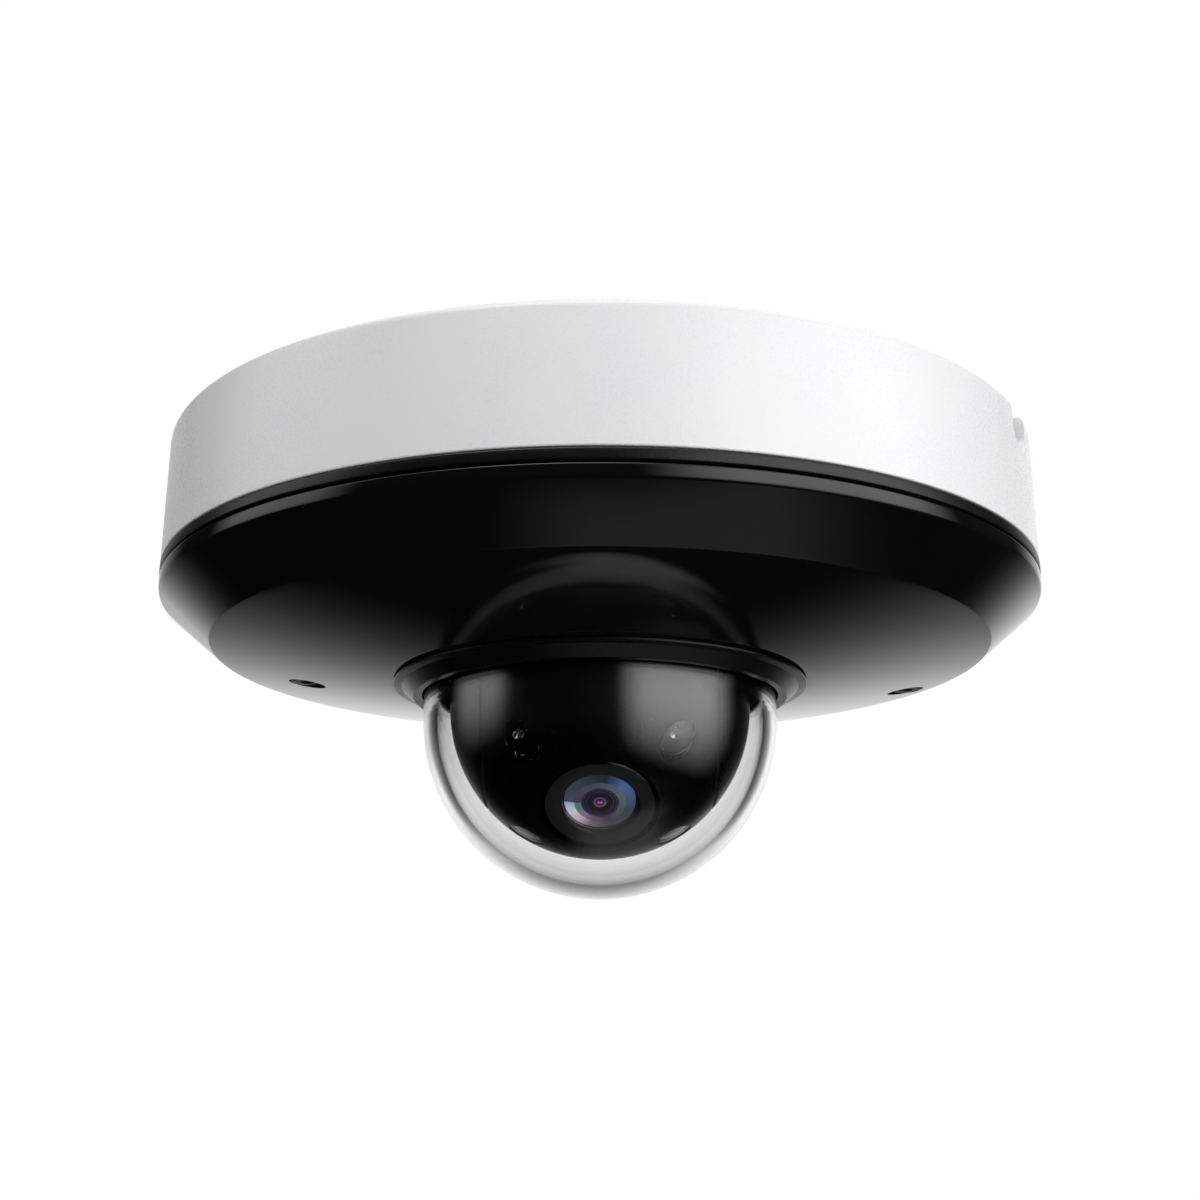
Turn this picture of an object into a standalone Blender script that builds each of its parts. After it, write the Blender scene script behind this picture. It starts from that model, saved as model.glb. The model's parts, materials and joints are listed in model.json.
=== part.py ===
"""A small ceiling-mounted pan-and-tilt dome camera, modelled piece by piece.

Units are metres, +Z is up. The origin is the centre of the flat mounting face, which lies
against the ceiling, so the whole camera hangs below z = 0. The camera faces -Y.
"""

from math import atan2, cos, degrees, pi, radians, sin, sqrt, tan

import bmesh
import bpy
from mathutils import Matrix, Vector

MM = 0.001
GAP = 0.3 * MM

# ---- driving dimensions ------------------------------------------------------------------
COVER_RADIUS = 65.0 * MM
HOUSING_HEIGHT = 19.2 * MM
HOUSING_INSIDE = 62.1 * MM
RIM_INSIDE = 62.4 * MM
PLATE_RADIUS = 61.6 * MM
PLATE_THICKNESS = 1.5 * MM
PLATE_HOLES_RADIUS = 44 * MM
BEARING_BORE = 9.7 * MM
WEB_TOP = -8.0 * MM
WEB_BOTTOM = -10.0 * MM
BAND_RADIUS = 65.1 * MM
BAND_TOP = -HOUSING_HEIGHT - 0.2 * MM
BAND_BOTTOM = -21.0 * MM
LIP_TOP = -21.35 * MM
LIP_BOTTOM = -23.06 * MM
CHAMFER_RADIUS = 57.6 * MM
CHAMFER_BOTTOM = -29.4 * MM
COVER_SLOPE = radians(9)
COVER_WALL = 2.0 * MM
COVER_HOLE_RADIUS = 30.4 * MM
COLLAR_RADIUS = 36.5 * MM
COLLAR_HEIGHT = 3.2 * MM
RETAINER_SCREWS_RADIUS = 34.2 * MM
TRIM_RADIUS = 30.8 * MM
TRIM_BOTTOM = -36.0 * MM
TRIM_SHOULDER = -33.95 * MM
NECK_TOP = -32.8 * MM
DOME_RADIUS = 26.17 * MM
DOME_WALL = 2.0 * MM
DOME_CENTRE = -39.2 * MM
BALL_RADIUS = 22.3 * MM
BALL_CENTRE = -37.3 * MM
BALL_WALL = 1.5 * MM
BALL_HALF_WIDTH = 16.2 * MM
BALL_SIDE_WALL = (14.0 * MM, 15.4 * MM)
BALL_SPLIT = 0.15 * MM
CAP_INNER_FACE = 16.5 * MM
CAP_WALL = 1.7 * MM
ARM_HALF_WIDTH = 6.4 * MM
ARM_SIDES = (17.9 * MM, 19.3 * MM)
ARM_FOOT = (-16 * MM, -14.5 * MM)
REST_TILT = radians(52)

NOTCH_ANGLE = radians(-25)
NOTCH_WIDTH = 7.2 * MM
NOTCH_BOTTOM = -6.5 * MM
COVER_SCREWS = {"left": (-45.3 * MM, 9.5 * MM), "right": (48.9 * MM, 19.5 * MM), "rear": (6 * MM, 50 * MM)}
SOCKET_PLACE = (-22 * MM, 38 * MM)
SOCKET_SIZE = (16 * MM, 14 * MM, 12.5 * MM)
SOCKET_TOP = -10.3 * MM
CABLE_HOLE_RADIUS = 12 * MM

BOARD_TOP = -23.0 * MM
BOARD_THICKNESS = 1.6 * MM
BOARD_BOTTOM = BOARD_TOP - BOARD_THICKNESS
BOARD_RADIUS = 56.3 * MM
BOARD_HOLE_RADIUS = 33 * MM
STANDOFF_RADIUS = 50 * MM
STANDOFF_ANGLES = (radians(60), radians(200), radians(300))

PAN_TEETH = 60
PAN_PINION_TEETH = 12
PAN_MODULE = 1.0 * MM
PAN_GEAR_TOP = -10.6 * MM
PAN_GEAR_THICKNESS = 1.5 * MM
PAN_MOTOR_ANGLE = radians(225)
TURNTABLE_RADIUS = 28 * MM
TURNTABLE_SIDES = (-14.2 * MM, -12.4 * MM)
HUB_RADII = (2.4 * MM, 4.2 * MM)
HUB_TOP = -4.6 * MM
BEARING_SIDES = (-10 * MM, -6.8 * MM)
TILT_TEETH = 20
TILT_PINION_TEETH = 10
TILT_MODULE = 0.5 * MM
TILT_GEAR_SIDES = (15.7 * MM, 16.9 * MM)

LAMP_ACROSS = 10.5 * MM
LAMP_UP = 8.8 * MM
LAMP_RADIUS = 2.2 * MM
BEZEL_RADIUS = 8.15 * MM
LENS_RADIUS = 5.0 * MM
FILTER_PLACE = 2.7 * MM
TILT_CENTRES = (TILT_TEETH + TILT_PINION_TEETH) / 2 * TILT_MODULE

BIG = 48      # segments round the housing
MEDIUM = 36   # round the dome and ball
SMALL = 16    # round bosses, motors and lenses
TINY = 8      # round screws and pins

MERGE = 1e-7
SHARP = radians(35)
# How far a cutter runs past what it cuts.
FAR = 40 * MM

FINISHES = {
    "white_plastic": ((0.86, 0.87, 0.87), 0.45, 0.0),
    "black_gloss": ((0.006, 0.006, 0.007), 0.08, 0.0),
    "black_satin": ((0.02, 0.02, 0.022), 0.4, 0.0),
    "clear": ((0.9, 0.92, 0.94), 0.02, 0.0),
    "rubber": ((0.03, 0.03, 0.03), 0.8, 0.0),
    "steel": ((0.55, 0.56, 0.58), 0.3, 1.0),
    "circuit_board": ((0.02, 0.16, 0.07), 0.45, 0.0),
    "chip": ((0.03, 0.03, 0.035), 0.5, 0.0),
    "aluminium": ((0.7, 0.71, 0.72), 0.35, 1.0),
    "nylon": ((0.85, 0.83, 0.78), 0.5, 0.0),
    "glass": ((0.1, 0.12, 0.2), 0.02, 0.0),
}


# ---- helpers -----------------------------------------------------------------------------
def clear_scene():
    for obj in list(bpy.data.objects):
        bpy.data.objects.remove(obj, do_unlink=True)


def finish_material(finish):
    material = bpy.data.materials.get(finish)
    if material:
        return material
    colour, roughness, metallic = FINISHES[finish]
    material = bpy.data.materials.new(finish)
    material.use_nodes = True
    shader = material.node_tree.nodes["Principled BSDF"]
    shader.inputs["Base Color"].default_value = (*colour, 1)
    shader.inputs["Roughness"].default_value = roughness
    shader.inputs["Metallic"].default_value = metallic
    return material


def make(name, bm, finish, parent=None, helper=False):
    """Turns a bmesh into a named object with outward faces and smooth round sides."""
    bmesh.ops.remove_doubles(bm, verts=bm.verts, dist=MERGE)
    bmesh.ops.recalc_face_normals(bm, faces=bm.faces)
    mesh = bpy.data.meshes.new(name)
    bm.to_mesh(mesh)
    bm.free()
    mesh.shade_smooth()
    mesh.set_sharp_from_angle(angle=SHARP)
    mesh.materials.append(finish_material(finish))
    obj = bpy.data.objects.new(name, mesh)
    bpy.context.scene.collection.objects.link(obj)
    obj.parent = parent
    if helper:
        obj.hide_render = True
        obj.display_type = "WIRE"
    return obj


def arc(centre, radius, start, end, steps):
    """Points along an arc, angles in degrees, both ends included."""
    points = []
    for step in range(steps + 1):
        angle = radians(start + (end - start) * step / steps)
        points.append((centre[0] + radius * cos(angle), centre[1] + radius * sin(angle)))
    return points


def turned(profile, segments):
    """A solid turned about Z from a closed outline of (radius, height) points."""
    bm = bmesh.new()
    ring = [bm.verts.new((r, 0, z)) for r, z in profile]
    edges = [bm.edges.new((a, b)) for a, b in zip(ring, ring[1:] + ring[:1])]
    bmesh.ops.spin(bm, geom=ring + edges, cent=(0, 0, 0), axis=(0, 0, 1), angle=2 * pi, steps=segments)
    bmesh.ops.remove_doubles(bm, verts=bm.verts, dist=MERGE)
    return bm


def extruded(outline, bottom, top):
    """A prism between two heights from a closed outline of (x, y) points."""
    bm = bmesh.new()
    face = bm.faces.new([bm.verts.new((x, y, bottom)) for x, y in outline])
    side = bmesh.ops.extrude_face_region(bm, geom=[face])
    moved = [v for v in side["geom"] if isinstance(v, bmesh.types.BMVert)]
    bmesh.ops.translate(bm, verts=moved, vec=(0, 0, top - bottom))
    return bm


def block(low, high):
    bm = bmesh.new()
    bmesh.ops.create_cube(bm, size=1)
    low, high = Vector(low), Vector(high)
    bmesh.ops.scale(bm, vec=high - low, verts=bm.verts)
    bmesh.ops.translate(bm, vec=(high + low) / 2, verts=bm.verts)
    return bm


def cylinder(radius, bottom, top, segments=SMALL, place=(0, 0)):
    outline = [(place[0] + x, place[1] + y) for x, y in arc((0, 0), radius, 0, 360, segments)[:-1]]
    return extruded(outline, bottom, top)


def tube(outer, inner, bottom, top, segments):
    return turned([(inner, bottom), (outer, bottom), (outer, top), (inner, top)], segments)


def moved(bm, matrix):
    bmesh.ops.transform(bm, matrix=matrix, verts=bm.verts)
    return bm


def facing_x(bm):
    """Turns a shape made along +Z so that it runs along +X."""
    return moved(bm, Matrix.Rotation(pi / 2, 4, "Y"))


def facing_front(bm):
    """Turns a shape made along +Z so that it runs along -Y, the way the lens looks."""
    return moved(bm, Matrix.Rotation(pi / 2, 4, "X"))


def combine(obj, bm, operation, label):
    """Cuts a shape from an object, or joins one to it, and keeps the result."""
    tool = make(f"{obj.name}_{label}", bm, "steel", helper=True)
    modifier = obj.modifiers.new(label, "BOOLEAN")
    modifier.operation = operation
    modifier.object = tool
    depsgraph = bpy.context.evaluated_depsgraph_get()
    result = bpy.data.meshes.new_from_object(obj.evaluated_get(depsgraph))
    obj.modifiers.clear()
    old = obj.data
    obj.data = result
    bpy.data.meshes.remove(old)
    bpy.data.objects.remove(tool, do_unlink=True)
    result.set_sharp_from_angle(angle=SHARP)


def cut(obj, bm, label):
    combine(obj, bm, "DIFFERENCE", label)


def join(obj, bm, label):
    combine(obj, bm, "UNION", label)


def polar(radius, angle):
    return (radius * cos(angle), radius * sin(angle))


def cover_height(radius):
    """Height of the cover's shallow cone at a distance from the axis."""
    return CHAMFER_BOTTOM - (CHAMFER_RADIUS - radius) * tan(COVER_SLOPE)


COLLAR_TOP = cover_height(COVER_HOLE_RADIUS) + COLLAR_HEIGHT


def gear_outline(teeth, module, phase=0.0):
    """Trapezium teeth, cut a little thin so that meshed pairs have backlash."""
    pitch, step = teeth * module / 2, 2 * pi / teeth
    shape = ((-0.25, -1.2), (-0.10, 0.85), (0.10, 0.85), (0.25, -1.2))
    points = []
    for tooth in range(teeth):
        for across, out in shape:
            angle = phase + (tooth + across) * step
            points.append(polar(pitch + out * module, angle))
    return points


def screw(name, head_radius, head_height, shank_radius, length, place, head_top, finish="steel"):
    """A screw pointing up: the head at the bottom end, its shank above."""
    profile = [
        (0, head_top - head_height),
        (head_radius, head_top - head_height),
        (head_radius, head_top),
        (shank_radius, head_top),
        (shank_radius, head_top + length),
        (0, head_top + length),
    ]
    obj = make(name, turned(profile, TINY), finish)
    obj.location = (place[0], place[1], 0)
    return obj


# ---- base: what is fixed to the ceiling ---------------------------------------------------
def mounting_plate():
    plate = make("mounting_plate", cylinder(PLATE_RADIUS, -PLATE_THICKNESS, 0, BIG), "steel")
    cut(plate, cylinder(CABLE_HOLE_RADIUS, -5 * MM, 5 * MM, SMALL, SOCKET_PLACE), "cable_hole")
    for number in range(3):
        centre = polar(PLATE_HOLES_RADIUS, radians(-75 + 120 * number))
        cut(plate, cylinder(2.3 * MM, -5 * MM, 5 * MM, TINY, centre), f"fixing_hole_{number}")


def housing():
    edge = 2.2 * MM
    profile = [
        (HOUSING_INSIDE, 0),
        *arc((COVER_RADIUS - 0.4 * MM - edge, -edge), edge, 90, 0, 4),
        (COVER_RADIUS - 0.2 * MM, WEB_BOTTOM),
        (COVER_RADIUS, -HOUSING_HEIGHT),
        (RIM_INSIDE, -HOUSING_HEIGHT),
        (HOUSING_INSIDE, WEB_BOTTOM),
        (BEARING_BORE, WEB_BOTTOM),
        (BEARING_BORE, WEB_TOP),
        (HOUSING_INSIDE, WEB_TOP),
    ]
    shell = make("housing", turned(profile, BIG), "white_plastic")
    for number, angle in enumerate(STANDOFF_ANGLES):
        x, y = polar(STANDOFF_RADIUS, angle)
        standoff = cylinder(3 * MM, BOARD_TOP + GAP, WEB_BOTTOM + 1 * MM, TINY, (x, y))
        pilot = cylinder(1.3 * MM, BOARD_TOP - 1 * MM, BOARD_TOP + 8 * MM, TINY, (x, y))
        join(shell, standoff, f"standoff_{number}")
        cut(shell, pilot, f"pilot_{number}")
    x, y = SOCKET_PLACE
    width, depth, _ = SOCKET_SIZE
    window = block(
        (x - width / 2 - GAP, y - depth / 2 - GAP, WEB_BOTTOM - 1 * MM),
        (x + width / 2 + GAP, y + depth / 2 + GAP, WEB_TOP + 1 * MM),
    )
    cut(shell, window, "socket_window")
    centre_height = NOTCH_BOTTOM + NOTCH_WIDTH / 2
    outline = [
        (NOTCH_WIDTH / 2, 3 * MM),
        (-NOTCH_WIDTH / 2, 3 * MM),
        *arc((0, centre_height), NOTCH_WIDTH / 2, 180, 360, 8),
    ]
    channel = extruded(outline, 58 * MM, 70 * MM)
    moved(channel, Matrix.Rotation(pi / 2, 4, "Z") @ Matrix.Rotation(pi / 2, 4, "X"))
    moved(channel, Matrix.Rotation(NOTCH_ANGLE, 4, "Z"))
    cut(shell, channel, "cable_notch")


def chassis_ring():
    inside = 58 * MM
    profile = [
        (inside, BAND_BOTTOM),
        (BAND_RADIUS, BAND_BOTTOM),
        (BAND_RADIUS - 0.05 * MM, BAND_TOP),
        (inside, BAND_TOP),
    ]
    ring = make("chassis_ring", turned(profile, BIG), "black_satin")
    for side, (x, y) in COVER_SCREWS.items():
        radius, angle = sqrt(x * x + y * y), atan2(y, x)
        ear = block((radius, -4 * MM, BAND_BOTTOM), (inside + 2 * MM, 4 * MM, BAND_TOP))
        join(ring, moved(ear, Matrix.Rotation(angle, 4, "Z")), f"ear_{side}")
        foot = cover_height(radius) + COVER_WALL + 0.8 * MM
        join(ring, cylinder(4 * MM, foot, BAND_TOP, TINY, (x, y)), f"boss_{side}")
        cut(ring, cylinder(1.6 * MM, -FAR, BAND_TOP + 1 * MM, TINY, (x, y)), f"pilot_{side}")


def cover_and_seal():
    slack = 0.06 * MM
    seal = tube(64.3 * MM, 62.7 * MM, LIP_TOP + slack, BAND_BOTTOM - slack, BIG)
    make("cover_gasket", seal, "rubber")
    lip_inside = 62.6 * MM
    profile = [
        (COVER_HOLE_RADIUS, cover_height(COVER_HOLE_RADIUS)),
        (CHAMFER_RADIUS, CHAMFER_BOTTOM),
        (COVER_RADIUS - 0.4 * MM, LIP_BOTTOM - 0.5 * MM),
        (COVER_RADIUS, LIP_BOTTOM),
        (BAND_RADIUS, LIP_TOP),
        (lip_inside, LIP_TOP),
        (lip_inside, LIP_BOTTOM),
        (CHAMFER_RADIUS - 0.8 * MM, CHAMFER_BOTTOM + COVER_WALL),
        (COLLAR_RADIUS, cover_height(COLLAR_RADIUS) + COVER_WALL),
        (COLLAR_RADIUS, COLLAR_TOP),
        (COVER_HOLE_RADIUS, COLLAR_TOP),
    ]
    cover = make("cover", turned(profile, BIG), "black_gloss")
    for side, (x, y) in COVER_SCREWS.items():
        floor = cover_height(sqrt(x * x + y * y)) + 1.3 * MM
        cut(cover, cylinder(2.85 * MM, floor - FAR, floor, SMALL, (x, y)), f"recess_{side}")
        cut(cover, cylinder(1.7 * MM, floor - FAR, floor + COVER_WALL, TINY, (x, y)), f"clearance_{side}")
        screw(f"cover_screw_{side}", 2.5 * MM, 1.0 * MM, 1.25 * MM, 5.5 * MM, (x, y), floor - 0.2 * MM)
    for number in range(3):
        place = polar(RETAINER_SCREWS_RADIUS, radians(30 + 120 * number))
        pilot = cylinder(1.1 * MM, COLLAR_TOP - 2.2 * MM, 0, TINY, place)
        cut(cover, pilot, f"retainer_pilot_{number}")


def dome_and_trim():
    neck_radius = COVER_HOLE_RADIUS - GAP
    inside = DOME_RADIUS + GAP
    profile = [
        (inside, TRIM_BOTTOM + GAP),
        (inside + GAP, TRIM_BOTTOM),
        (27.75 * MM, TRIM_BOTTOM),
        (29.6 * MM, TRIM_SHOULDER - 0.5 * MM),
        (TRIM_RADIUS - 0.2 * MM, TRIM_SHOULDER - 0.35 * MM),
        (TRIM_RADIUS, TRIM_SHOULDER - 0.2 * MM),
        (TRIM_RADIUS, TRIM_SHOULDER),
        (neck_radius, TRIM_SHOULDER),
        (neck_radius, NECK_TOP),
        (inside, NECK_TOP),
    ]
    make("trim_ring", turned(profile, BIG), "black_satin")
    seal = tube(neck_radius, inside, NECK_TOP + 0.15 * MM, NECK_TOP + 0.75 * MM, MEDIUM)
    make("dome_gasket", seal, "rubber")
    flange_bottom = NECK_TOP + 0.9 * MM
    flange_top = flange_bottom + 1.2 * MM
    inner = DOME_RADIUS - DOME_WALL
    shell = [
        (inner, flange_top),
        *arc((0, DOME_CENTRE), inner, 0, -90, 9),
        *arc((0, DOME_CENTRE), DOME_RADIUS, -90, 0, 9),
        (DOME_RADIUS, flange_bottom),
        (neck_radius, flange_bottom),
        (neck_radius, flange_top),
    ]
    make("dome", turned(shell, MEDIUM), "clear")
    bottom = max(flange_top, COLLAR_TOP) + 0.2 * MM
    top = bottom + 1.2 * MM
    retainer = make("dome_retainer", tube(COLLAR_RADIUS, 25 * MM, bottom, top, MEDIUM), "black_satin")
    for number in range(3):
        place = polar(RETAINER_SCREWS_RADIUS, radians(30 + 120 * number))
        cut(retainer, cylinder(1.1 * MM, -FAR, 0, TINY, place), f"hole_{number}")
        fastener = screw(f"retainer_screw_{number + 1}", 1.7 * MM, 0.9 * MM, 0.8 * MM, 2.6 * MM, (0, 0), 0)
        fastener.rotation_euler = (pi, 0, 0)
        fastener.location = (*place, top + 0.2 * MM)


def circuit_boards():
    ring = tube(BOARD_RADIUS, BOARD_HOLE_RADIUS, BOARD_BOTTOM, BOARD_TOP, MEDIUM)
    board = make("main_board", ring, "circuit_board")
    for side, place in COVER_SCREWS.items():
        cut(board, cylinder(4.6 * MM, -FAR, 0, TINY, place), f"clear_{side}")
    for number, angle in enumerate(STANDOFF_ANGLES):
        place = polar(STANDOFF_RADIUS, angle)
        cut(board, cylinder(1.4 * MM, -FAR, 0, TINY, place), f"hole_{number}")
        head_top = BOARD_BOTTOM - 0.2 * MM
        screw(f"board_screw_{number + 1}", 2.4 * MM, 1.0 * MM, 1.0 * MM, 6 * MM, place, head_top)

    on_board = BOARD_TOP + 0.2 * MM
    under_board = BOARD_BOTTOM - 0.2 * MM
    network_socket()
    processor_and_sink(on_board)
    card_reader(on_board)
    reset_button((10 * MM, -42 * MM), under_board)


def network_socket():
    x, y = SOCKET_PLACE
    width, depth, height = SOCKET_SIZE
    low = (x - width / 2, y - depth / 2, SOCKET_TOP - height + GAP)
    high = (x + width / 2, y + depth / 2, SOCKET_TOP)
    socket = make("network_socket", block(low, high), "steel")
    mouth = block((x - 5.9 * MM, y - 3.6 * MM, BOARD_TOP + 2 * MM), (x + 5.9 * MM, y + 3.6 * MM, 0))
    cut(socket, mouth, "mouth")


def processor_and_sink(bottom):
    x, y = 38 * MM, -22 * MM
    half = 6 * MM
    make("processor", block((x - half, y - half, bottom), (x + half, y + half, bottom + 1.2 * MM)), "chip")
    foot, top = bottom + 1.4 * MM, -15 * MM
    half = 7 * MM
    sink = make("heat_sink", block((x - half, y - half, foot), (x + half, y + half, top)), "aluminium")
    for number in range(4):
        left = x - 5.4 * MM + 3 * MM * number
        gap = block((left, y - 8 * MM, foot + 1.4 * MM), (left + 1.6 * MM, y + 8 * MM, 0))
        cut(sink, gap, f"fin_gap_{number}")


def card_reader(bottom):
    low, high = (-7 * MM, -52 * MM, bottom), (7 * MM, -37 * MM, bottom + 1.9 * MM)
    reader = make("card_socket", block(low, high), "steel")
    slot = block((-5.8 * MM, -60 * MM, bottom + 0.4 * MM), (5.8 * MM, -39 * MM, bottom + 1.5 * MM))
    cut(reader, slot, "slot")
    low, high = (-5.5 * MM, -54.3 * MM, bottom + 0.6 * MM), (5.5 * MM, -39.4 * MM, bottom + 1.3 * MM)
    make("memory_card", block(low, high), "chip")


def reset_button(place, top):
    """A small switch under the board, with a button that travels up into it."""
    x, y = place
    half, height = 3 * MM, 2.6 * MM
    body = block((x - half, y - half, top - height), (x + half, y + half, top))
    switch = make("reset_switch", body, "chip")
    cut(switch, cylinder(1.9 * MM, top - 5 * MM, top - 0.6 * MM, SMALL, place), "well")
    radius = 1.6 * MM
    plunger = make("reset_button", cylinder(radius, -1.2 * MM, 1.3 * MM), "nylon")
    plunger.location = (x, y, top - height)


def pan_drive():
    distance = (PAN_TEETH + PAN_PINION_TEETH) / 2 * PAN_MODULE
    x, y = polar(distance, PAN_MOTOR_ANGLE)
    radius, bottom, top, edge = 9 * MM, -22.4 * MM, -14.2 * MM, 0.4 * MM
    can = [
        (0, bottom),
        (radius - edge, bottom),
        (radius, bottom + edge),
        (radius, top - edge),
        (radius - edge, top),
        (0, top),
    ]
    motor = make("pan_motor", turned(can, SMALL), "steel")
    motor.location = (x, y, 0)

    bottom = PAN_GEAR_TOP - 2.4 * MM
    phase = PAN_MOTOR_ANGLE + pi + pi / PAN_PINION_TEETH
    pinion_shape = gear_outline(PAN_PINION_TEETH, PAN_MODULE, phase)
    pinion = make("pan_pinion", extruded(pinion_shape, bottom, PAN_GEAR_TOP), "nylon")
    join(pinion, cylinder(2.5 * MM, -13.9 * MM, bottom + 0.5 * MM, TINY), "hub")
    pinion.location = (x, y, 0)

    make("pan_bearing_outer", tube(BEARING_BORE - GAP, 7.6 * MM, *BEARING_SIDES, SMALL), "steel")


# ---- pan head: the turntable and what it carries ------------------------------------------
def pan_head(root):
    cable_way, hub = HUB_RADII
    bottom, top = TURNTABLE_SIDES
    profile = [
        (cable_way, bottom),
        (TURNTABLE_RADIUS, bottom),
        (TURNTABLE_RADIUS, top),
        (hub, top),
        (hub, HUB_TOP),
        (cable_way, HUB_TOP),
    ]
    make("turntable", turned(profile, MEDIUM), "black_satin", root)
    gear_bottom = PAN_GEAR_TOP - PAN_GEAR_THICKNESS
    teeth = gear_outline(PAN_TEETH, PAN_MODULE, PAN_MOTOR_ANGLE)
    gear = make("pan_gear", extruded(teeth, gear_bottom, PAN_GEAR_TOP), "nylon", root)
    cut(gear, cylinder(22 * MM, -20 * MM, 0, SMALL), "bore")
    make("pan_bearing_inner", tube(6.6 * MM, hub + GAP, *BEARING_SIDES, SMALL), "steel", root)
    nut = make("hub_nut", cylinder(7.4 * MM, -6.5 * MM, -4.9 * MM, 6), "steel", root)
    cut(nut, cylinder(hub + GAP, -10 * MM, 0, SMALL), "thread")

    for side, sign in (("left", -1), ("right", 1)):
        yoke_arm(side, sign, root)
        side_cap(side, sign, root)

    teeth = gear_outline(TILT_TEETH, TILT_MODULE, pi / 2 - REST_TILT)
    sun = extruded(teeth, *TILT_GEAR_SIDES)
    sun_gear = make("tilt_ring_gear", sun, "nylon")
    join(sun_gear, cylinder(3.8 * MM, 16 * MM, 17.6 * MM, SMALL), "hub")
    cut(sun_gear, cylinder(2.2 * MM, 0, 30 * MM, TINY), "bore")
    sun_gear.rotation_euler = (0, -pi / 2, 0)
    sun_gear.location = (0, 0, BALL_CENTRE)
    sun_gear.parent = root


def yoke_arm(side, sign, root):
    """A flat bracket that hangs from the turntable and holds one trunnion."""
    half = ARM_HALF_WIDTH
    foot_bottom, foot_top = ARM_FOOT
    top = foot_top - BALL_CENTRE
    outline = [(-half, top), *arc((0, 0), half, 180, 360, 8), (half, top)]
    plate = extruded(outline, *ARM_SIDES)
    # The outline is drawn flat, then stood up: its x becomes Y, its y becomes Z, its depth X.
    moved(plate, Matrix(((0, 0, sign, 0), (1, 0, 0, 0), (0, 1, 0, BALL_CENTRE), (0, 0, 0, 1))))
    arm = make(f"yoke_arm_{side}", plate, "aluminium", root)
    inner, outer = sorted((sign * 11 * MM, sign * ARM_SIDES[1]))
    join(arm, block((inner, -half, foot_bottom), (outer, half, foot_top)), "foot")
    pivot = facing_x(cylinder(2.2 * MM, -30 * MM, 30 * MM, SMALL))
    cut(arm, moved(pivot, Matrix.Translation((0, 0, BALL_CENTRE))), "pivot_hole")


def side_cap(side, sign, root):
    """The rounded side cover of the yoke, a slice of the ball's sphere, hollow inside."""
    inner = BALL_RADIUS - CAP_WALL
    start = degrees(atan2(CAP_INNER_FACE, sqrt(BALL_RADIUS**2 - CAP_INNER_FACE**2)))
    inner_start = degrees(atan2(CAP_INNER_FACE, sqrt(inner**2 - CAP_INNER_FACE**2)))
    profile = [
        *arc((0, 0), BALL_RADIUS, start, 90, 5),
        *arc((0, 0), inner, 90, inner_start, 4),
    ]
    cap = make(f"side_cap_{side}", facing_x(turned(profile, MEDIUM)), "black_satin")
    room = 0.4 * MM
    half = ARM_HALF_WIDTH + room
    low = (ARM_SIDES[0] - room, -half, -half)
    high = (ARM_SIDES[1] + room, half, FAR)
    cut(cap, block(low, high), "arm_slot")
    matrix = Matrix.Translation((0, 0, BALL_CENTRE)) @ Matrix.Diagonal((sign, 1, 1, 1))
    cap.data.transform(matrix)
    if sign < 0:
        cap.data.flip_normals()
    cap.parent = root


# ---- tilt head: the ball with the lens and the lamps ---------------------------------------
# Everything here is drawn with the lens level, looking along -Y, about the tilt axis. The
# parent empty then turns it down to its rest angle.
def ball_half(name, start):
    """Half of the ball: a drum with a spherical rim and flat side walls."""
    outer, inner, half = BALL_RADIUS, BALL_RADIUS - BALL_WALL, BALL_HALF_WIDTH
    side_inner, side_outer = BALL_SIDE_WALL
    bearing = 2.2 * MM
    outer_angle = degrees(atan2(half, sqrt(outer**2 - half**2)))
    inner_angle = degrees(atan2(side_inner, sqrt(inner**2 - side_inner**2)))
    rim = 14.3 * MM
    profile = [
        *arc((0, 0), outer, -outer_angle, outer_angle, 8),
        (rim, half),
        (rim, side_outer),
        (bearing, side_outer),
        (bearing, side_inner),
        *arc((0, 0), inner, inner_angle, -inner_angle, 6),
        (bearing, -side_inner),
        (bearing, -side_outer),
        (rim, -side_outer),
        (rim, -half),
    ]
    shell = facing_x(turned(profile, MEDIUM))
    half_shell = make(name, shell, "black_satin")
    low, high = sorted((-start * BALL_SPLIT, start * FAR))
    cut(half_shell, block((-FAR, low, -FAR), (FAR, high, FAR)), "split")
    return half_shell


def ball_shells(lamps, root):
    front = ball_half("ball_front_shell", 1)
    cut(front, facing_front(cylinder(BEZEL_RADIUS + GAP, 15 * MM, FAR, SMALL)), "lens_hole")
    for number, (x, z) in enumerate(lamps):
        hole = facing_front(cylinder(LAMP_RADIUS + GAP, 8 * MM, FAR, SMALL))
        cut(front, moved(hole, Matrix.Translation((x, 0, z))), f"lamp_hole_{number}")
    front.parent = root
    rear = ball_half("ball_rear_shell", -1)
    shaft_hole = facing_x(cylinder(1.4 * MM, -20 * MM, -10 * MM, TINY))
    cut(rear, moved(shaft_hole, Matrix.Translation((0, TILT_CENTRES, 0))), "shaft_hole")
    rear.parent = root


def trunnions(root):
    """The two pins that the ball tilts on, each with a flange inside the ball's side wall."""
    flange, pin = 3.2 * MM, 1.8 * MM
    inner, shoulder, outer = 12.6 * MM, BALL_SIDE_WALL[0] - GAP, 19.9 * MM
    profile = [(0, inner), (flange, inner), (flange, shoulder), (pin, shoulder), (pin, outer), (0, outer)]
    for side, sign in (("left", -1), ("right", 1)):
        solid = moved(turned(profile, TINY), Matrix.Rotation(sign * pi / 2, 4, "Y"))
        make(f"trunnion_{side}", solid, "steel", root)


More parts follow.
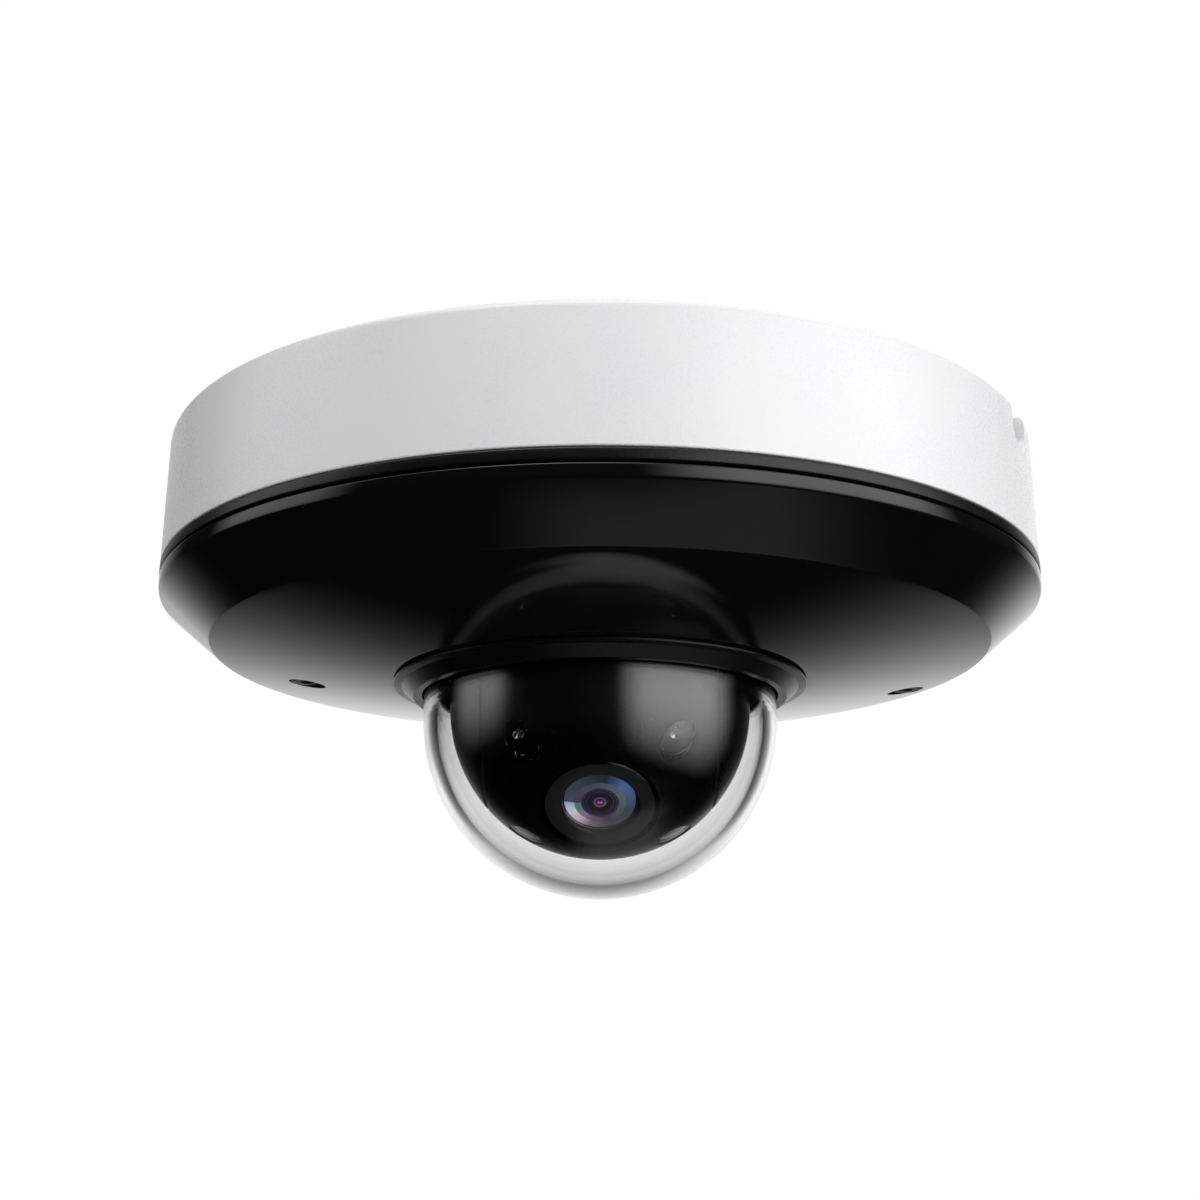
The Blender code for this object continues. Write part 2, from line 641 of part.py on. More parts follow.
def lens(root):
    """The ring, the front glass and the barrel behind it."""
    back = 19.3 * MM
    bezel = [
        (LENS_RADIUS + GAP, back),
        (BEZEL_RADIUS, back),
        (BEZEL_RADIUS, 20.4 * MM),
        (BEZEL_RADIUS - 0.2 * MM, 20.55 * MM),
        (LENS_RADIUS + GAP, 20.4 * MM),
    ]
    make("lens_bezel", facing_front(turned(bezel, SMALL)), "black_satin", root)
    glass = [
        (0, 19.2 * MM),
        (LENS_RADIUS, 19.2 * MM),
        (LENS_RADIUS, 19.9 * MM),
        (3.5 * MM, 20.2 * MM),
        (1.8 * MM, 20.38 * MM),
        (0, 20.42 * MM),
    ]
    make("front_lens", facing_front(turned(glass, SMALL)), "glass", root)
    barrel = [
        (3.6 * MM, 4 * MM),
        (5.2 * MM, 4 * MM),
        (5.2 * MM, 10 * MM),
        (5.6 * MM, 10 * MM),
        (5.6 * MM, 19 * MM),
        (4.6 * MM, 19 * MM),
        (4.6 * MM, 12 * MM),
        (3.6 * MM, 12 * MM),
    ]
    make("lens_barrel", facing_front(turned(barrel, SMALL)), "black_satin", root)


def sensor(root):
    """The holder behind the barrel, with the filter's slot, and the image sensor on its board."""
    holder_solid = block((-7 * MM, -9 * MM, -7 * MM), (7 * MM, -0.9 * MM, 7 * MM))
    holder = make("lens_holder", holder_solid, "black_satin")
    cut(holder, facing_front(cylinder(5.8 * MM, -5 * MM, 15 * MM, SMALL)), "bore")
    slot_top, slot_half = FILTER_PLACE + 0.6 * MM, 4.5 * MM
    slot = block((-10 * MM, -slot_top, -slot_half), (10 * MM, 1.2 * MM - slot_top, slot_half))
    cut(holder, slot, "filter_slot")
    holder.parent = root
    board = block((-9 * MM, -0.6 * MM, -9 * MM), (9 * MM, 0.4 * MM, 9 * MM))
    make("sensor_board", board, "circuit_board", root)
    chip = block((-4 * MM, -1.7 * MM, -3.4 * MM), (4 * MM, -0.8 * MM, 3.4 * MM))
    make("image_sensor", chip, "chip", root)


def infrared_lamps(places, root):
    half_width, half_height, front = 13 * MM, 11 * MM, 11.2 * MM
    board = block((-half_width, -front, -half_height), (half_width, 1 * MM - front, half_height))
    lamp_board = make("lamp_board", board, "circuit_board")
    cut(lamp_board, facing_front(cylinder(6.2 * MM, 5 * MM, 15 * MM, SMALL)), "lens_hole")
    lamp_board.parent = root
    foot = front + GAP
    profile = [
        (0, foot),
        (LAMP_RADIUS, foot),
        (LAMP_RADIUS, 14.4 * MM),
        (1.6 * MM, 15.6 * MM),
        (0.8 * MM, 16.1 * MM),
        (0, 16.3 * MM),
    ]
    for number, (x, z) in enumerate(places):
        lamp = make(f"infrared_lamp_{number + 1}", facing_front(turned(profile, TINY)), "clear", root)
        lamp.location = (x, 0, z)


def tilt_head(root):
    lamps = [(x * LAMP_ACROSS, z * LAMP_UP) for z in (1, -1) for x in (-1, 1)]
    ball_shells(lamps, root)
    trunnions(root)
    lens(root)
    sensor(root)
    infrared_lamps(lamps, root)
    radius, outer, inner = 3.9 * MM, -13.6 * MM, -3 * MM
    motor = make("tilt_motor", facing_x(cylinder(radius, outer, inner)), "steel", root)
    motor.location = (0, TILT_CENTRES, 0)


def tilt_pinion(root):
    """The motor's little gear, which rolls round the fixed gear on the yoke."""
    phase = -pi / 2 + pi / TILT_PINION_TEETH
    teeth = extruded(gear_outline(TILT_PINION_TEETH, TILT_MODULE, phase), *TILT_GEAR_SIDES)
    pinion = make("tilt_pinion", teeth, "nylon")
    join(pinion, cylinder(0.9 * MM, 13.9 * MM, 16 * MM, TINY), "shaft")
    pinion.rotation_euler = (0, -pi / 2, 0)
    pinion.location = (0, TILT_CENTRES, 0)
    pinion.parent = root


def infrared_filter(root):
    half_width, half_thickness, half_height = 5 * MM, 0.3 * MM, 4 * MM
    plate = block((-half_width, -half_thickness, -half_height), (half_width, half_thickness, half_height))
    glass = make("infrared_filter", plate, "glass", root)
    glass.location = (0, -FILTER_PLACE, 0)


def anchor(name, height=0.0, tilt=0.0):
    empty = bpy.data.objects.new(name, None)
    bpy.context.scene.collection.objects.link(empty)
    empty.location = (0, 0, height)
    empty.rotation_euler = (tilt, 0, 0)
    return empty


def main():
    clear_scene()
    mounting_plate()
    housing()
    chassis_ring()
    cover_and_seal()
    dome_and_trim()
    circuit_boards()
    pan_drive()
    pan_head(anchor("pan_axis"))
    level = anchor("tilt_axis", BALL_CENTRE, REST_TILT)
    tilt_head(level)
    tilt_pinion(level)
    infrared_filter(level)


main()
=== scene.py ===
# %% [markdown]
# # A ceiling dome camera, piece by piece
# This lesson dresses a small pan-and-tilt dome camera. Its inner structure, joints and sizes come
# ready-made as a fixed frame of plain solids. Here each piece that can be seen gets a fine
# surface and a finish of its own, and every hidden piece gets a finish too. The frame is loaded
# first, because every size and place below is read from it.

# %% Load the frame
import json
from math import atan2, cos, degrees, pi, radians, sin, sqrt, tan

import bpy
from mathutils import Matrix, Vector


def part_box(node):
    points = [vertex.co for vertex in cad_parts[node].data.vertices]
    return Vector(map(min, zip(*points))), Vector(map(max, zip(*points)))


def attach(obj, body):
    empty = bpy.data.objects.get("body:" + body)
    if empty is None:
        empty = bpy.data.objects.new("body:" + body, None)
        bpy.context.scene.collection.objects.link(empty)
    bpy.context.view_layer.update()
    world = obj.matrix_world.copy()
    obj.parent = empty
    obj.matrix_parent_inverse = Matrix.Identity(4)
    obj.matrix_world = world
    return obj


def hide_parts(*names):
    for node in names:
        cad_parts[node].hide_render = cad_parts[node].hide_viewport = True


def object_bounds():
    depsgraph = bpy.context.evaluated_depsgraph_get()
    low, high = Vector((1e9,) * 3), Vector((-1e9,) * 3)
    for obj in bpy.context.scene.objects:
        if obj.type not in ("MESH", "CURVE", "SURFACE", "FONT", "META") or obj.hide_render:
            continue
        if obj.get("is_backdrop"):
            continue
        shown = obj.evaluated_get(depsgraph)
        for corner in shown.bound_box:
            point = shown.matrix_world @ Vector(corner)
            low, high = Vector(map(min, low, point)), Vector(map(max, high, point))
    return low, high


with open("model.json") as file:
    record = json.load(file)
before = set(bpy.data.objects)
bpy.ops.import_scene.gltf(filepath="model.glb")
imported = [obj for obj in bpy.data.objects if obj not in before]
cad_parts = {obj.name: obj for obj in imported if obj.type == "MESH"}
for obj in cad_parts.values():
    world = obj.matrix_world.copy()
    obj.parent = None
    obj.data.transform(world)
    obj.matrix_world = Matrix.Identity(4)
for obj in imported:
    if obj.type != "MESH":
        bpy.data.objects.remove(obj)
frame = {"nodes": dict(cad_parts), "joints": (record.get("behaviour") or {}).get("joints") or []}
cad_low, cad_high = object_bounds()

MM = 0.001
bpy.ops.object.select_all(action="DESELECT")
print("nodes in the frame:", len(frame["nodes"]))
print("box in mm:", [round(v / MM, 1) for v in (*cad_low, *cad_high)])

# %% [markdown]
# ## Where things are
# The camera hangs from a ceiling: its flat mounting face is at height zero, and all of it is
# below. Two axes matter. Everything round about the vertical axis is turned about Z. The lens
# ball tilts about a level axis through its own centre. The lower end of its joint is the level
# view, so the size of that end says how far down it looks at rest, which is 52 degrees. The sizes
# that the frame's boxes hold are measured here; the rest are named where they are used.

# %% Sizes from the frame
RIM_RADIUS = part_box("cover")[1].x
DRUM_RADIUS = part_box("housing")[1].x
BAND_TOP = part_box("chassis_ring")[1].z
DRUM_BOTTOM = BAND_TOP + 0.2 * MM
BAND_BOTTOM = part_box("cover_gasket")[1].z + 0.06 * MM
LIP_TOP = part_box("cover")[1].z
CONE_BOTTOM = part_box("cover")[0].z
TRIM_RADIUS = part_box("trim_ring")[1].x
TRIM_LOW, TRIM_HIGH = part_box("trim_ring")[0].z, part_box("trim_ring")[1].z
DOME_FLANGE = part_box("dome")[1].x
DOME_LOW, DOME_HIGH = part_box("dome")[0].z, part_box("dome")[1].z
DOME_RADIUS = 26.17 * MM
DOME_CENTRE = DOME_LOW + DOME_RADIUS
BALL_RADIUS = 22.3 * MM
tilt_joint = next(joint for joint in frame["joints"] if joint["name"] == "tilt_turn")
BALL_CENTRE = tilt_joint["pos_m"][2]
REST_TILT = radians(-tilt_joint["range_deg"][0])
print("dome centre", round(DOME_CENTRE / MM, 2), "ball centre", round(BALL_CENTRE / MM, 2))
print("looks down by", round(degrees(REST_TILT), 2), "degrees at rest")

# %% [markdown]
# ## The camera and the room
# The viewer stands a little in front of the object and below it, and looks up by 15 degrees,
# with a lens somewhat longer than normal. The background is white to the eye, but a black gloss
# cover under a white sky would look grey all over. A studio solves that with dark cloth: light
# comes only from where a reflection is wanted. The world shader does the same. It is white where
# it is looked at directly, and for light and reflections it is a soft horizon behind the object
# that fades to black below, with a faint pool of light on the ground.

# %% The viewpoint
EYE = Vector((0, -270.94, -94.29)) * MM
PITCH = radians(15.24)
bpy.ops.object.camera_add(location=EYE, rotation=(pi / 2 + PITCH, 0, 0))
eye = bpy.context.object
eye.data.lens = 55.63
eye.data.sensor_width = 36
eye.data.clip_start = 0.01
bpy.context.scene.camera = eye
bpy.context.scene.view_settings.view_transform = "Standard"
print("eye at", [round(v, 3) for v in eye.location])

# %% [markdown]
# Node maths is easier to read as ordinary sums. A small class wraps a node's output, so that
# `0.4 + 0.1 * grain` adds the Math nodes it needs. A second class holds one node tree and adds
# any other node, with its settings first and the values of its sockets after.

# %% Shader maths as sums
class Wire:
    """An output socket on which ordinary operators add Math nodes."""

    def __init__(self, tree, socket):
        self.tree, self.socket = tree, socket

    def maths(self, operation, first, second):
        return self.tree.add("ShaderNodeMath", {"operation": operation}, {0: first, 1: second})

    def __add__(self, other):
        return self.maths("ADD", self, other)

    def __sub__(self, other):
        return self.maths("SUBTRACT", self, other)

    def __rsub__(self, other):
        return self.maths("SUBTRACT", other, self)

    def __mul__(self, other):
        return self.maths("MULTIPLY", self, other)

    def __gt__(self, other):
        return self.maths("GREATER_THAN", self, other)

    def __lt__(self, other):
        return self.maths("LESS_THAN", self, other)

    __radd__, __rmul__ = __add__, __mul__


class Tree:
    """A node tree, with one method that adds a node and wires it up."""

    def __init__(self, nodes_owner):
        nodes_owner.use_nodes = True
        self.owner, self.tree = nodes_owner, nodes_owner.node_tree

    def plug(self, socket, value):
        if isinstance(value, Wire):
            self.tree.links.new(value.socket, socket)
        else:
            socket.default_value = value

    def add(self, kind, settings=None, inputs=None, output=0):
        node = self.tree.nodes.new(kind)
        for name, value in (settings or {}).items():
            if name == "stops":
                ramp = node.color_ramp.elements
                while len(ramp) < len(value):
                    ramp.new(0.5)
                for element, (stop, colour) in zip(ramp, value):
                    element.position = stop
                    element.color = (*colour, 1)
            else:
                setattr(node, name, value)
        for name, value in (inputs or {}).items():
            self.plug(node.inputs[name], value)
        return Wire(self, node.outputs[output])

    def axes(self, vector):
        """The three parts of a vector."""
        first = self.add("ShaderNodeSeparateXYZ", inputs={0: vector})
        return [Wire(self, output) for output in first.socket.node.outputs]

    def between(self, value, low, high, start=0.0, end=1.0):
        """Maps a value smoothly from the span low..high to start..end."""
        settings = {"interpolation_type": "SMOOTHSTEP"}
        return self.add("ShaderNodeMapRange", settings, {0: value, 1: low, 2: high, 3: start, 4: end})


# %% The light that the room gives
world = bpy.data.worlds.new("studio")
bpy.context.scene.world = world
sky = Tree(world)
aside, back, up = sky.axes(sky.add("ShaderNodeTexCoord"))
horizon = sky.between(up + 0.035 * sky.between(aside, 0.0, 0.3), -0.50, 0.05)
behind = sky.between(back, 0.58, 0.90, 0.02, 1.0)
overhead = sky.between(up, 0.55, 0.9, 0.0, 1.1)
pool = sky.between(up, -0.62, -0.90) * sky.between(aside, -0.32, 0.02)
pool = pool * sky.between(aside, 0.72, 0.40) * sky.between(back, -0.30, -0.10)
left_above = sky.between(aside, -0.1, -0.5) * sky.between(up, 0.0, 0.15)
glow = horizon * behind * (1 - 0.45 * left_above) + overhead + 0.28 * pool

# %% [markdown]
# Clear plastic has no colour of its own, so a studio draws it with dark lines: two black cards
# stand behind it, just outside the view, and the thick rim of the dome bends them into a thin
# dark outline. Only light that comes through the plastic sees the cards here. The bottom of the
# outline sees the ground behind. Light that went in and out of the plastic once, and was mirrored
# at most once, sees it as a middle grey. Nearly all other light sees it black.

# %% Black cards for the dome, and a white backdrop
seen = sky.add("ShaderNodeLightPath")
path = seen.socket.node.outputs
through = Wire(sky, path["Is Transmission Ray"])
sideways = sky.add("ShaderNodeMath", {"operation": "ABSOLUTE"}, {0: aside})
cards = sky.between(sideways, 0.34, 0.52) * (back > 0.0) * through
entered = Wire(sky, path["Transmission Depth"])
mirrored = Wire(sky, path["Glossy Depth"])
once = through * (entered < 3.0) * (mirrored < 2.0)
ground = 0.30 * once * sky.between(up, -0.08, -0.38) * sky.between(back, 0.2, 0.5)
light = glow * (1 - 0.92 * cards) + ground
backdrop = world.node_tree.nodes["Background"]
sky.plug(backdrop.inputs["Strength"], seen + (1 - seen) * light)
backdrop.inputs["Color"].default_value = (1, 1, 1, 1)
print("world nodes:", len(world.node_tree.nodes))

# %% [markdown]
# Two upright soft boxes give the long soft highlights on black plastic: a wide one in front to
# the right, and a narrow one to the left. A third hangs high in front and lights the white drum.
# It is too high for the cover, which faces down, to mirror it. A glossy black surface shows a
# light as it is, so the boxes must not end in a hard edge. Each fades out towards its rim, as
# cloth does that is lit from behind.

# %% Three soft boxes
BOX_DISTANCE = 1.0
AIMED_AT = Vector((0, 0, -30)) * MM


def soft_box(name, bearing, height, width, tall, radiance):
    """An area light at a bearing in degrees from the front, towards the right."""
    turn = radians(bearing)
    spot = Vector((sin(turn) * BOX_DISTANCE, -cos(turn) * BOX_DISTANCE, height))
    bpy.ops.object.light_add(type="AREA", location=spot)
    box = bpy.context.object
    box.name = name
    box.rotation_euler = (spot - AIMED_AT).to_track_quat("Z", "Y").to_euler()
    box.data.shape = "RECTANGLE"
    box.data.size, box.data.size_y = width, tall
    box.data.energy = radiance * pi * width * tall
    box.visible_camera = False
    cloth = Tree(box.data)
    across, upright, _ = cloth.axes(cloth.add("ShaderNodeNewGeometry", output=5))
    sides = cloth.between(across, 0.0, 0.35) * cloth.between(across, 1.0, 0.65)
    ends = cloth.between(upright, 0.0, 0.55) * cloth.between(upright, 1.0, 0.8)
    cloth.plug(cloth.tree.nodes["Emission"].inputs["Strength"], 1.6 * sides * ends)
    print(name, "at", [round(v, 2) for v in spot])


soft_box("key_box", 53, 0.02, 1.95, 1.7, 1.5)
soft_box("side_box", -84, 0.22, 1.0, 1.2, 0.82)
soft_box("high_box", -18, 1.5, 1.6, 1.0, 2.8)

# %% A pale floor
bpy.ops.mesh.primitive_circle_add(vertices=96, radius=2.4, fill_type="NGON", location=(0, 0, -0.9))
floor = bpy.context.object
floor.name = "floor"
floor.visible_glossy = False
floor.visible_transmission = False
floor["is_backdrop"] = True
paint = Tree(bpy.data.materials.new("floor_paint"))
shader = paint.tree.nodes["Principled BSDF"]
speckle = paint.add("ShaderNodeTexNoise", inputs={"Scale": 40.0})
paint.plug(shader.inputs["Roughness"], 0.7 + 0.1 * speckle)
shader.inputs["Base Color"].default_value = (0.85, 0.85, 0.84, 1)
floor.data.materials.append(paint.owner)
print("floor at", floor.location.z)

# %% [markdown]
# ## Tools for modelling
# Most pieces of this camera are turned, like work on a lathe: half of a cross-section is drawn
# point by point and then spun about an axis. The outline is drawn by extruding one vertex, and
# its corners are rounded by a formula before it is spun, because real edges catch the light.

# %% Outlines and the lathe
SAME_SPOT = 2e-6


def arc(centre, radius, start, end, steps):
    """Points along an arc between two angles in degrees."""
    angles = [radians(start + (end - start) * i / steps) for i in range(steps + 1)]
    return [(centre[0] + radius * cos(a), centre[1] + radius * sin(a)) for a in angles]


def rounded(corners, steps=4):
    """An outline whose corners (across, up, fillet) are rounded by their own fillet radius."""
    points = []
    for index, (x, y, fillet) in enumerate(corners):
        here = Vector((x, y))
        before = Vector(corners[index - 1][:2]) - here
        after = Vector(corners[(index + 1) % len(corners)][:2]) - here
        if fillet <= 0:
            points.append((x, y))
            continue
        half = before.angle(after) / 2
        reach = min(fillet / tan(half), 0.49 * before.length, 0.49 * after.length)
        first = here + before.normalized() * reach
        last = here + after.normalized() * reach
        for step in range(steps + 1):
            t = step / steps
            curve = first.lerp(here, t).lerp(here.lerp(last, t), t)
            points.append((curve.x, curve.y))
    return points


def only(piece):
    """Makes one object the only selected one, and the active one."""
    bpy.ops.object.select_all(action="DESELECT")
    piece.select_set(True)
    bpy.context.view_layer.objects.active = piece


def lathe(name, outline, sides=160):
    """Draws a closed outline with one extruded vertex, and spins it about Z."""
    bpy.ops.object.select_all(action="DESELECT")
    bpy.ops.mesh.primitive_plane_add(size=MM)
    piece = bpy.context.object
    piece.name = name
    bpy.ops.object.mode_set(mode="EDIT")
    bpy.ops.mesh.select_all(action="SELECT")
    bpy.ops.mesh.merge(type="CENTER")
    stops = [Vector((across, 0, up)) for across, up in outline]
    bpy.ops.transform.translate(value=stops[0])
    for last, stop in zip(stops, stops[1:] + stops[:1]):
        bpy.ops.mesh.extrude_vertices_move(TRANSFORM_OT_translate={"value": stop - last})
    bpy.ops.mesh.select_all(action="SELECT")
    bpy.ops.mesh.remove_doubles(threshold=SAME_SPOT)
    bpy.ops.mesh.spin(steps=sides, angle=2 * pi, center=(0, 0, 0), axis=(0, 0, 1))
    bpy.ops.mesh.select_all(action="SELECT")
    bpy.ops.mesh.remove_doubles(threshold=SAME_SPOT)
    bpy.ops.mesh.normals_make_consistent(inside=False)
    bpy.ops.object.mode_set(mode="OBJECT")
    return piece


# %% [markdown]
# Holes and slots are cut with the Boolean modifier. Its exact solver lost the finely turned drum
# altogether, so the newer solver for closed meshes is used. It is quick on thousands of faces,
# and a piece that a cut leaves empty stops the lesson with a message.

# %% Placing, cutting and joining
def place(piece, turn=(0, 0, 0), at=(0, 0, 0)):
    """Turns and moves a piece, and writes the result into its mesh."""
    only(piece)
    piece.rotation_euler = turn
    piece.location = at
    bpy.ops.object.transform_apply(location=True, rotation=True, scale=True)
    return piece


def look_down(piece):
    """Takes a piece drawn about a lens that looks up to where the lens looks at rest."""
    place(piece, turn=(pi / 2, 0, 0))
    return place(piece, turn=(REST_TILT, 0, 0), at=(0, 0, BALL_CENTRE))


def apply(piece, modifier):
    only(piece)
    bpy.ops.object.modifier_apply(modifier=modifier.name)


def carve(piece, tool, operation="DIFFERENCE"):
    """Cuts a tool out of a piece, or joins it on, and throws the tool away."""
    cut = piece.modifiers.new("cut", "BOOLEAN")
    cut.object, cut.operation, cut.solver = tool, operation, "MANIFOLD"
    apply(piece, cut)
    bpy.data.objects.remove(tool)
    if not piece.data.polygons:
        raise ValueError(f"{piece.name} was cut away")


def soften(piece, width, angle):
    """Rounds every edge that is sharper than an angle."""
    bevel = piece.modifiers.new("soften", "BEVEL")
    bevel.width, bevel.segments = width, 2
    bevel.limit_method, bevel.angle_limit = "ANGLE", radians(angle)
    apply(piece, bevel)


def rod(radius, bottom, top, sides=64, at=(0, 0)):
    """A plain cylinder to cut with or to build on."""
    bpy.ops.object.select_all(action="DESELECT")
    bpy.ops.mesh.primitive_cylinder_add(
        vertices=sides, radius=radius, depth=top - bottom, location=(*at, (top + bottom) / 2)
    )
    tool = bpy.context.object
    bpy.ops.object.transform_apply(location=True, rotation=True, scale=True)
    return tool


def slab(low, high):
    """A block between two corners."""
    low, high = Vector(low), Vector(high)
    bpy.ops.object.select_all(action="DESELECT")
    bpy.ops.mesh.primitive_cube_add(size=1, location=(low + high) / 2)
    tool = bpy.context.object
    tool.scale = high - low
    bpy.ops.object.transform_apply(location=True, rotation=True, scale=True)
    return tool


def deliver(piece, body, finish, slot, *nodes):
    """Gives a finished piece its material, its body and the plain nodes it stands for."""
    only(piece)
    bpy.ops.object.shade_smooth_by_angle(angle=radians(30))
    piece.data.name = piece.name
    piece.data.materials.clear()
    piece.data.materials.append(finish)
    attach(piece, body)
    if nodes:
        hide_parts(*nodes)
    print(piece.name, "faces:", len(piece.data.polygons))


# %% [markdown]
# ## A finish
# Each finish is a Principled shader. What is the same all over is set on the shader itself.
# What changes over the surface comes from noise on Object coordinates, which stay put when a
# piece moves. Moulded plastic is never one flat value: its tone and its gloss drift a little,
# and a fine grain breaks up the highlight.

# %% The finish class
class Finish(Tree):
    """A material with a Principled shader, patterned on Object coordinates."""

    def __init__(self, name, **settings):
        super().__init__(bpy.data.materials.new(name))
        self.shader = self.tree.nodes["Principled BSDF"]
        self.spot = self.add("ShaderNodeTexCoord", output=3)
        for socket, value in settings.items():
            self.shader.inputs[socket.replace("_", " ")].default_value = value

    def noise(self, size, detail=2.0):
        """Soft noise whose features are about as large as size, in metres."""
        inputs = {"Vector": self.spot, "Scale": 1 / size, "Detail": detail, "Roughness": 0.5}
        return self.add("ShaderNodeTexNoise", inputs=inputs)

    def colour(self, amount, dark, light):
        ramp = self.add("ShaderNodeValToRGB", {"stops": ((0.3, dark), (0.7, light))}, {0: amount})
        self.plug(self.shader.inputs["Base Color"], ramp)

    def rough(self, value):
        self.plug(self.shader.inputs["Roughness"], value)

    def bump(self, height, depth, strength=1.0):
        """Raises the surface by up to depth, in metres."""
        inputs = {"Height": height, "Distance": depth, "Strength": strength}
        self.plug(self.shader.inputs["Normal"], self.add("ShaderNodeBump", inputs=inputs))


# %% [markdown]
# The white drum is injection-moulded and spark-eroded to a fine satin grain. The gloss cover is
# polished black, with only the faint waviness that every moulded gloss part has. The band, the
# ring and the ball are black plastic with a leather-like grain that is coarse enough to see.

# %% White grain, black gloss and black grain
white_grain = Finish("white_grain", Specular_IOR_Level=0.5)
tone = white_grain.noise(18 * MM)
grain = white_grain.noise(0.28 * MM, detail=3)
white_grain.colour(tone, (0.86, 0.87, 0.88), (0.89, 0.895, 0.90))
white_grain.rough(0.22 + 0.08 * grain + 0.04 * tone)
white_grain.bump(grain, 0.007 * MM)

black_gloss = Finish("black_gloss", IOR=1.5)
tone = black_gloss.noise(25 * MM)
wave = black_gloss.noise(9 * MM, detail=1)
black_gloss.colour(tone, (0.0026, 0.0026, 0.0028), (0.0036, 0.0036, 0.0038))
black_gloss.rough(0.025 + 0.03 * tone)
black_gloss.bump(wave, 0.004 * MM, 0.5)

black_grain = Finish("black_grain", Specular_IOR_Level=0.38)
tone = black_grain.noise(12 * MM)
pebble = black_grain.noise(0.42 * MM, detail=2)
fine = black_grain.noise(0.15 * MM, detail=2)
black_grain.colour(tone, (0.0022, 0.0022, 0.0024), (0.0036, 0.0036, 0.0038))
black_grain.rough(0.22 + 0.10 * pebble + 0.05 * tone)
black_grain.bump(pebble * 0.75 + fine * 0.25, 0.022 * MM)
print("finishes:", [m.name for m in bpy.data.materials if m.users])

# %% [markdown]
# ## The white drum
# The drum carries everything. It is a wall with a slight draft, so that it leaves its mould, a
# rounded upper edge, and a web inside, near the top, that holds the pan bearing. Above the web
# is room for spare cable. The outline is turned, and the openings are then cut with Booleans.

# %% Turn the drum
WEB_TOP, WEB_BOTTOM = -8.0 * MM, -10.0 * MM
WALL_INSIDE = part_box("mounting_plate")[1].x + 0.5 * MM
BEARING_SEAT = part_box("pan_bearing_outer")[1].x + 0.3 * MM
drum = lathe("white_drum", rounded([
    (WALL_INSIDE, 0, 0.3 * MM),
    (DRUM_RADIUS - 0.45 * MM, 0, 2.3 * MM),
    (DRUM_RADIUS - 0.2 * MM, -10 * MM, 0),
    (DRUM_RADIUS, DRUM_BOTTOM, 0.25 * MM),
    (62.4 * MM, DRUM_BOTTOM, 0.3 * MM),
    (WALL_INSIDE, WEB_BOTTOM, 0.8 * MM),
    (BEARING_SEAT + 2 * MM, WEB_BOTTOM, 0.5 * MM),
    (BEARING_SEAT + 2 * MM, WEB_BOTTOM - 0.2 * MM, 0),
    (BEARING_SEAT, WEB_BOTTOM - 0.2 * MM, 0.2 * MM),
    (BEARING_SEAT, WEB_TOP + 1 * MM, 0.2 * MM),
    (BEARING_SEAT + 2 * MM, WEB_TOP + 1 * MM, 0.3 * MM),
    (BEARING_SEAT + 2 * MM, WEB_TOP, 0.4 * MM),
    (WALL_INSIDE, WEB_TOP, 0.8 * MM),
], steps=5), sides=256)

# %% Cut the cable notch and the socket window, and add the board pillars
NOTCH_BEARING = radians(-25)
NOTCH_WIDTH, NOTCH_DEPTH = 7.2 * MM, 6.5 * MM
notch = rod(NOTCH_WIDTH / 2, 58 * MM, 70 * MM)
place(notch, turn=(0, pi / 2, 0), at=(0, 0, NOTCH_WIDTH / 2 - NOTCH_DEPTH))
slot_low = (58 * MM, -NOTCH_WIDTH / 2, NOTCH_WIDTH / 2 - NOTCH_DEPTH)
carve(notch, slab(slot_low, (70 * MM, NOTCH_WIDTH / 2, 4 * MM)), "UNION")
carve(drum, place(notch, turn=(0, 0, NOTCH_BEARING)))
socket_low, socket_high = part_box("network_socket")
margin = Vector((0.4, 0.4, 3)) * MM
window = slab(Vector((*socket_low.xy, WEB_BOTTOM)) - margin, Vector((*socket_high.xy, WEB_TOP)) + margin)
carve(drum, window)
soften(drum, 0.35 * MM, angle=50)
PILLAR_HOLE, PILLAR_FOOT = 1.2 * MM, -22.7 * MM
PILLAR_HEAD = WEB_BOTTOM + 0.1 * MM
for number in (1, 2, 3):
    low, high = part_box(f"board_screw_{number}")
    middle = (low + high) / 2
    pillar = lathe(f"pillar_{number}", rounded([
        (PILLAR_HOLE, PILLAR_FOOT, 0.1 * MM),
        (3 * MM, PILLAR_FOOT, 0.3 * MM),
        (3.3 * MM, PILLAR_HEAD, 0),
        (PILLAR_HOLE, PILLAR_HEAD, 0),
    ]), sides=32)
    place(pillar, at=(middle.x, middle.y, 0))
    pillar.select_set(True)
    drum.select_set(True)
    bpy.context.view_layer.objects.active = drum
    bpy.ops.object.join()
deliver(drum, "base", white_grain.owner, "white_housing", "housing")

# %% [markdown]
# ## The black band and the gasket
# Under the drum a thin black band shows. It is the rim of the frame that the cover is screwed
# to: a ring with three ears. An ear's foot stands on the cover's shallow cone, so the cone's slope
# and the hole that it runs down to are named here. Below the band is a dark line, where a rubber
# gasket lies set back between the band and the cover.

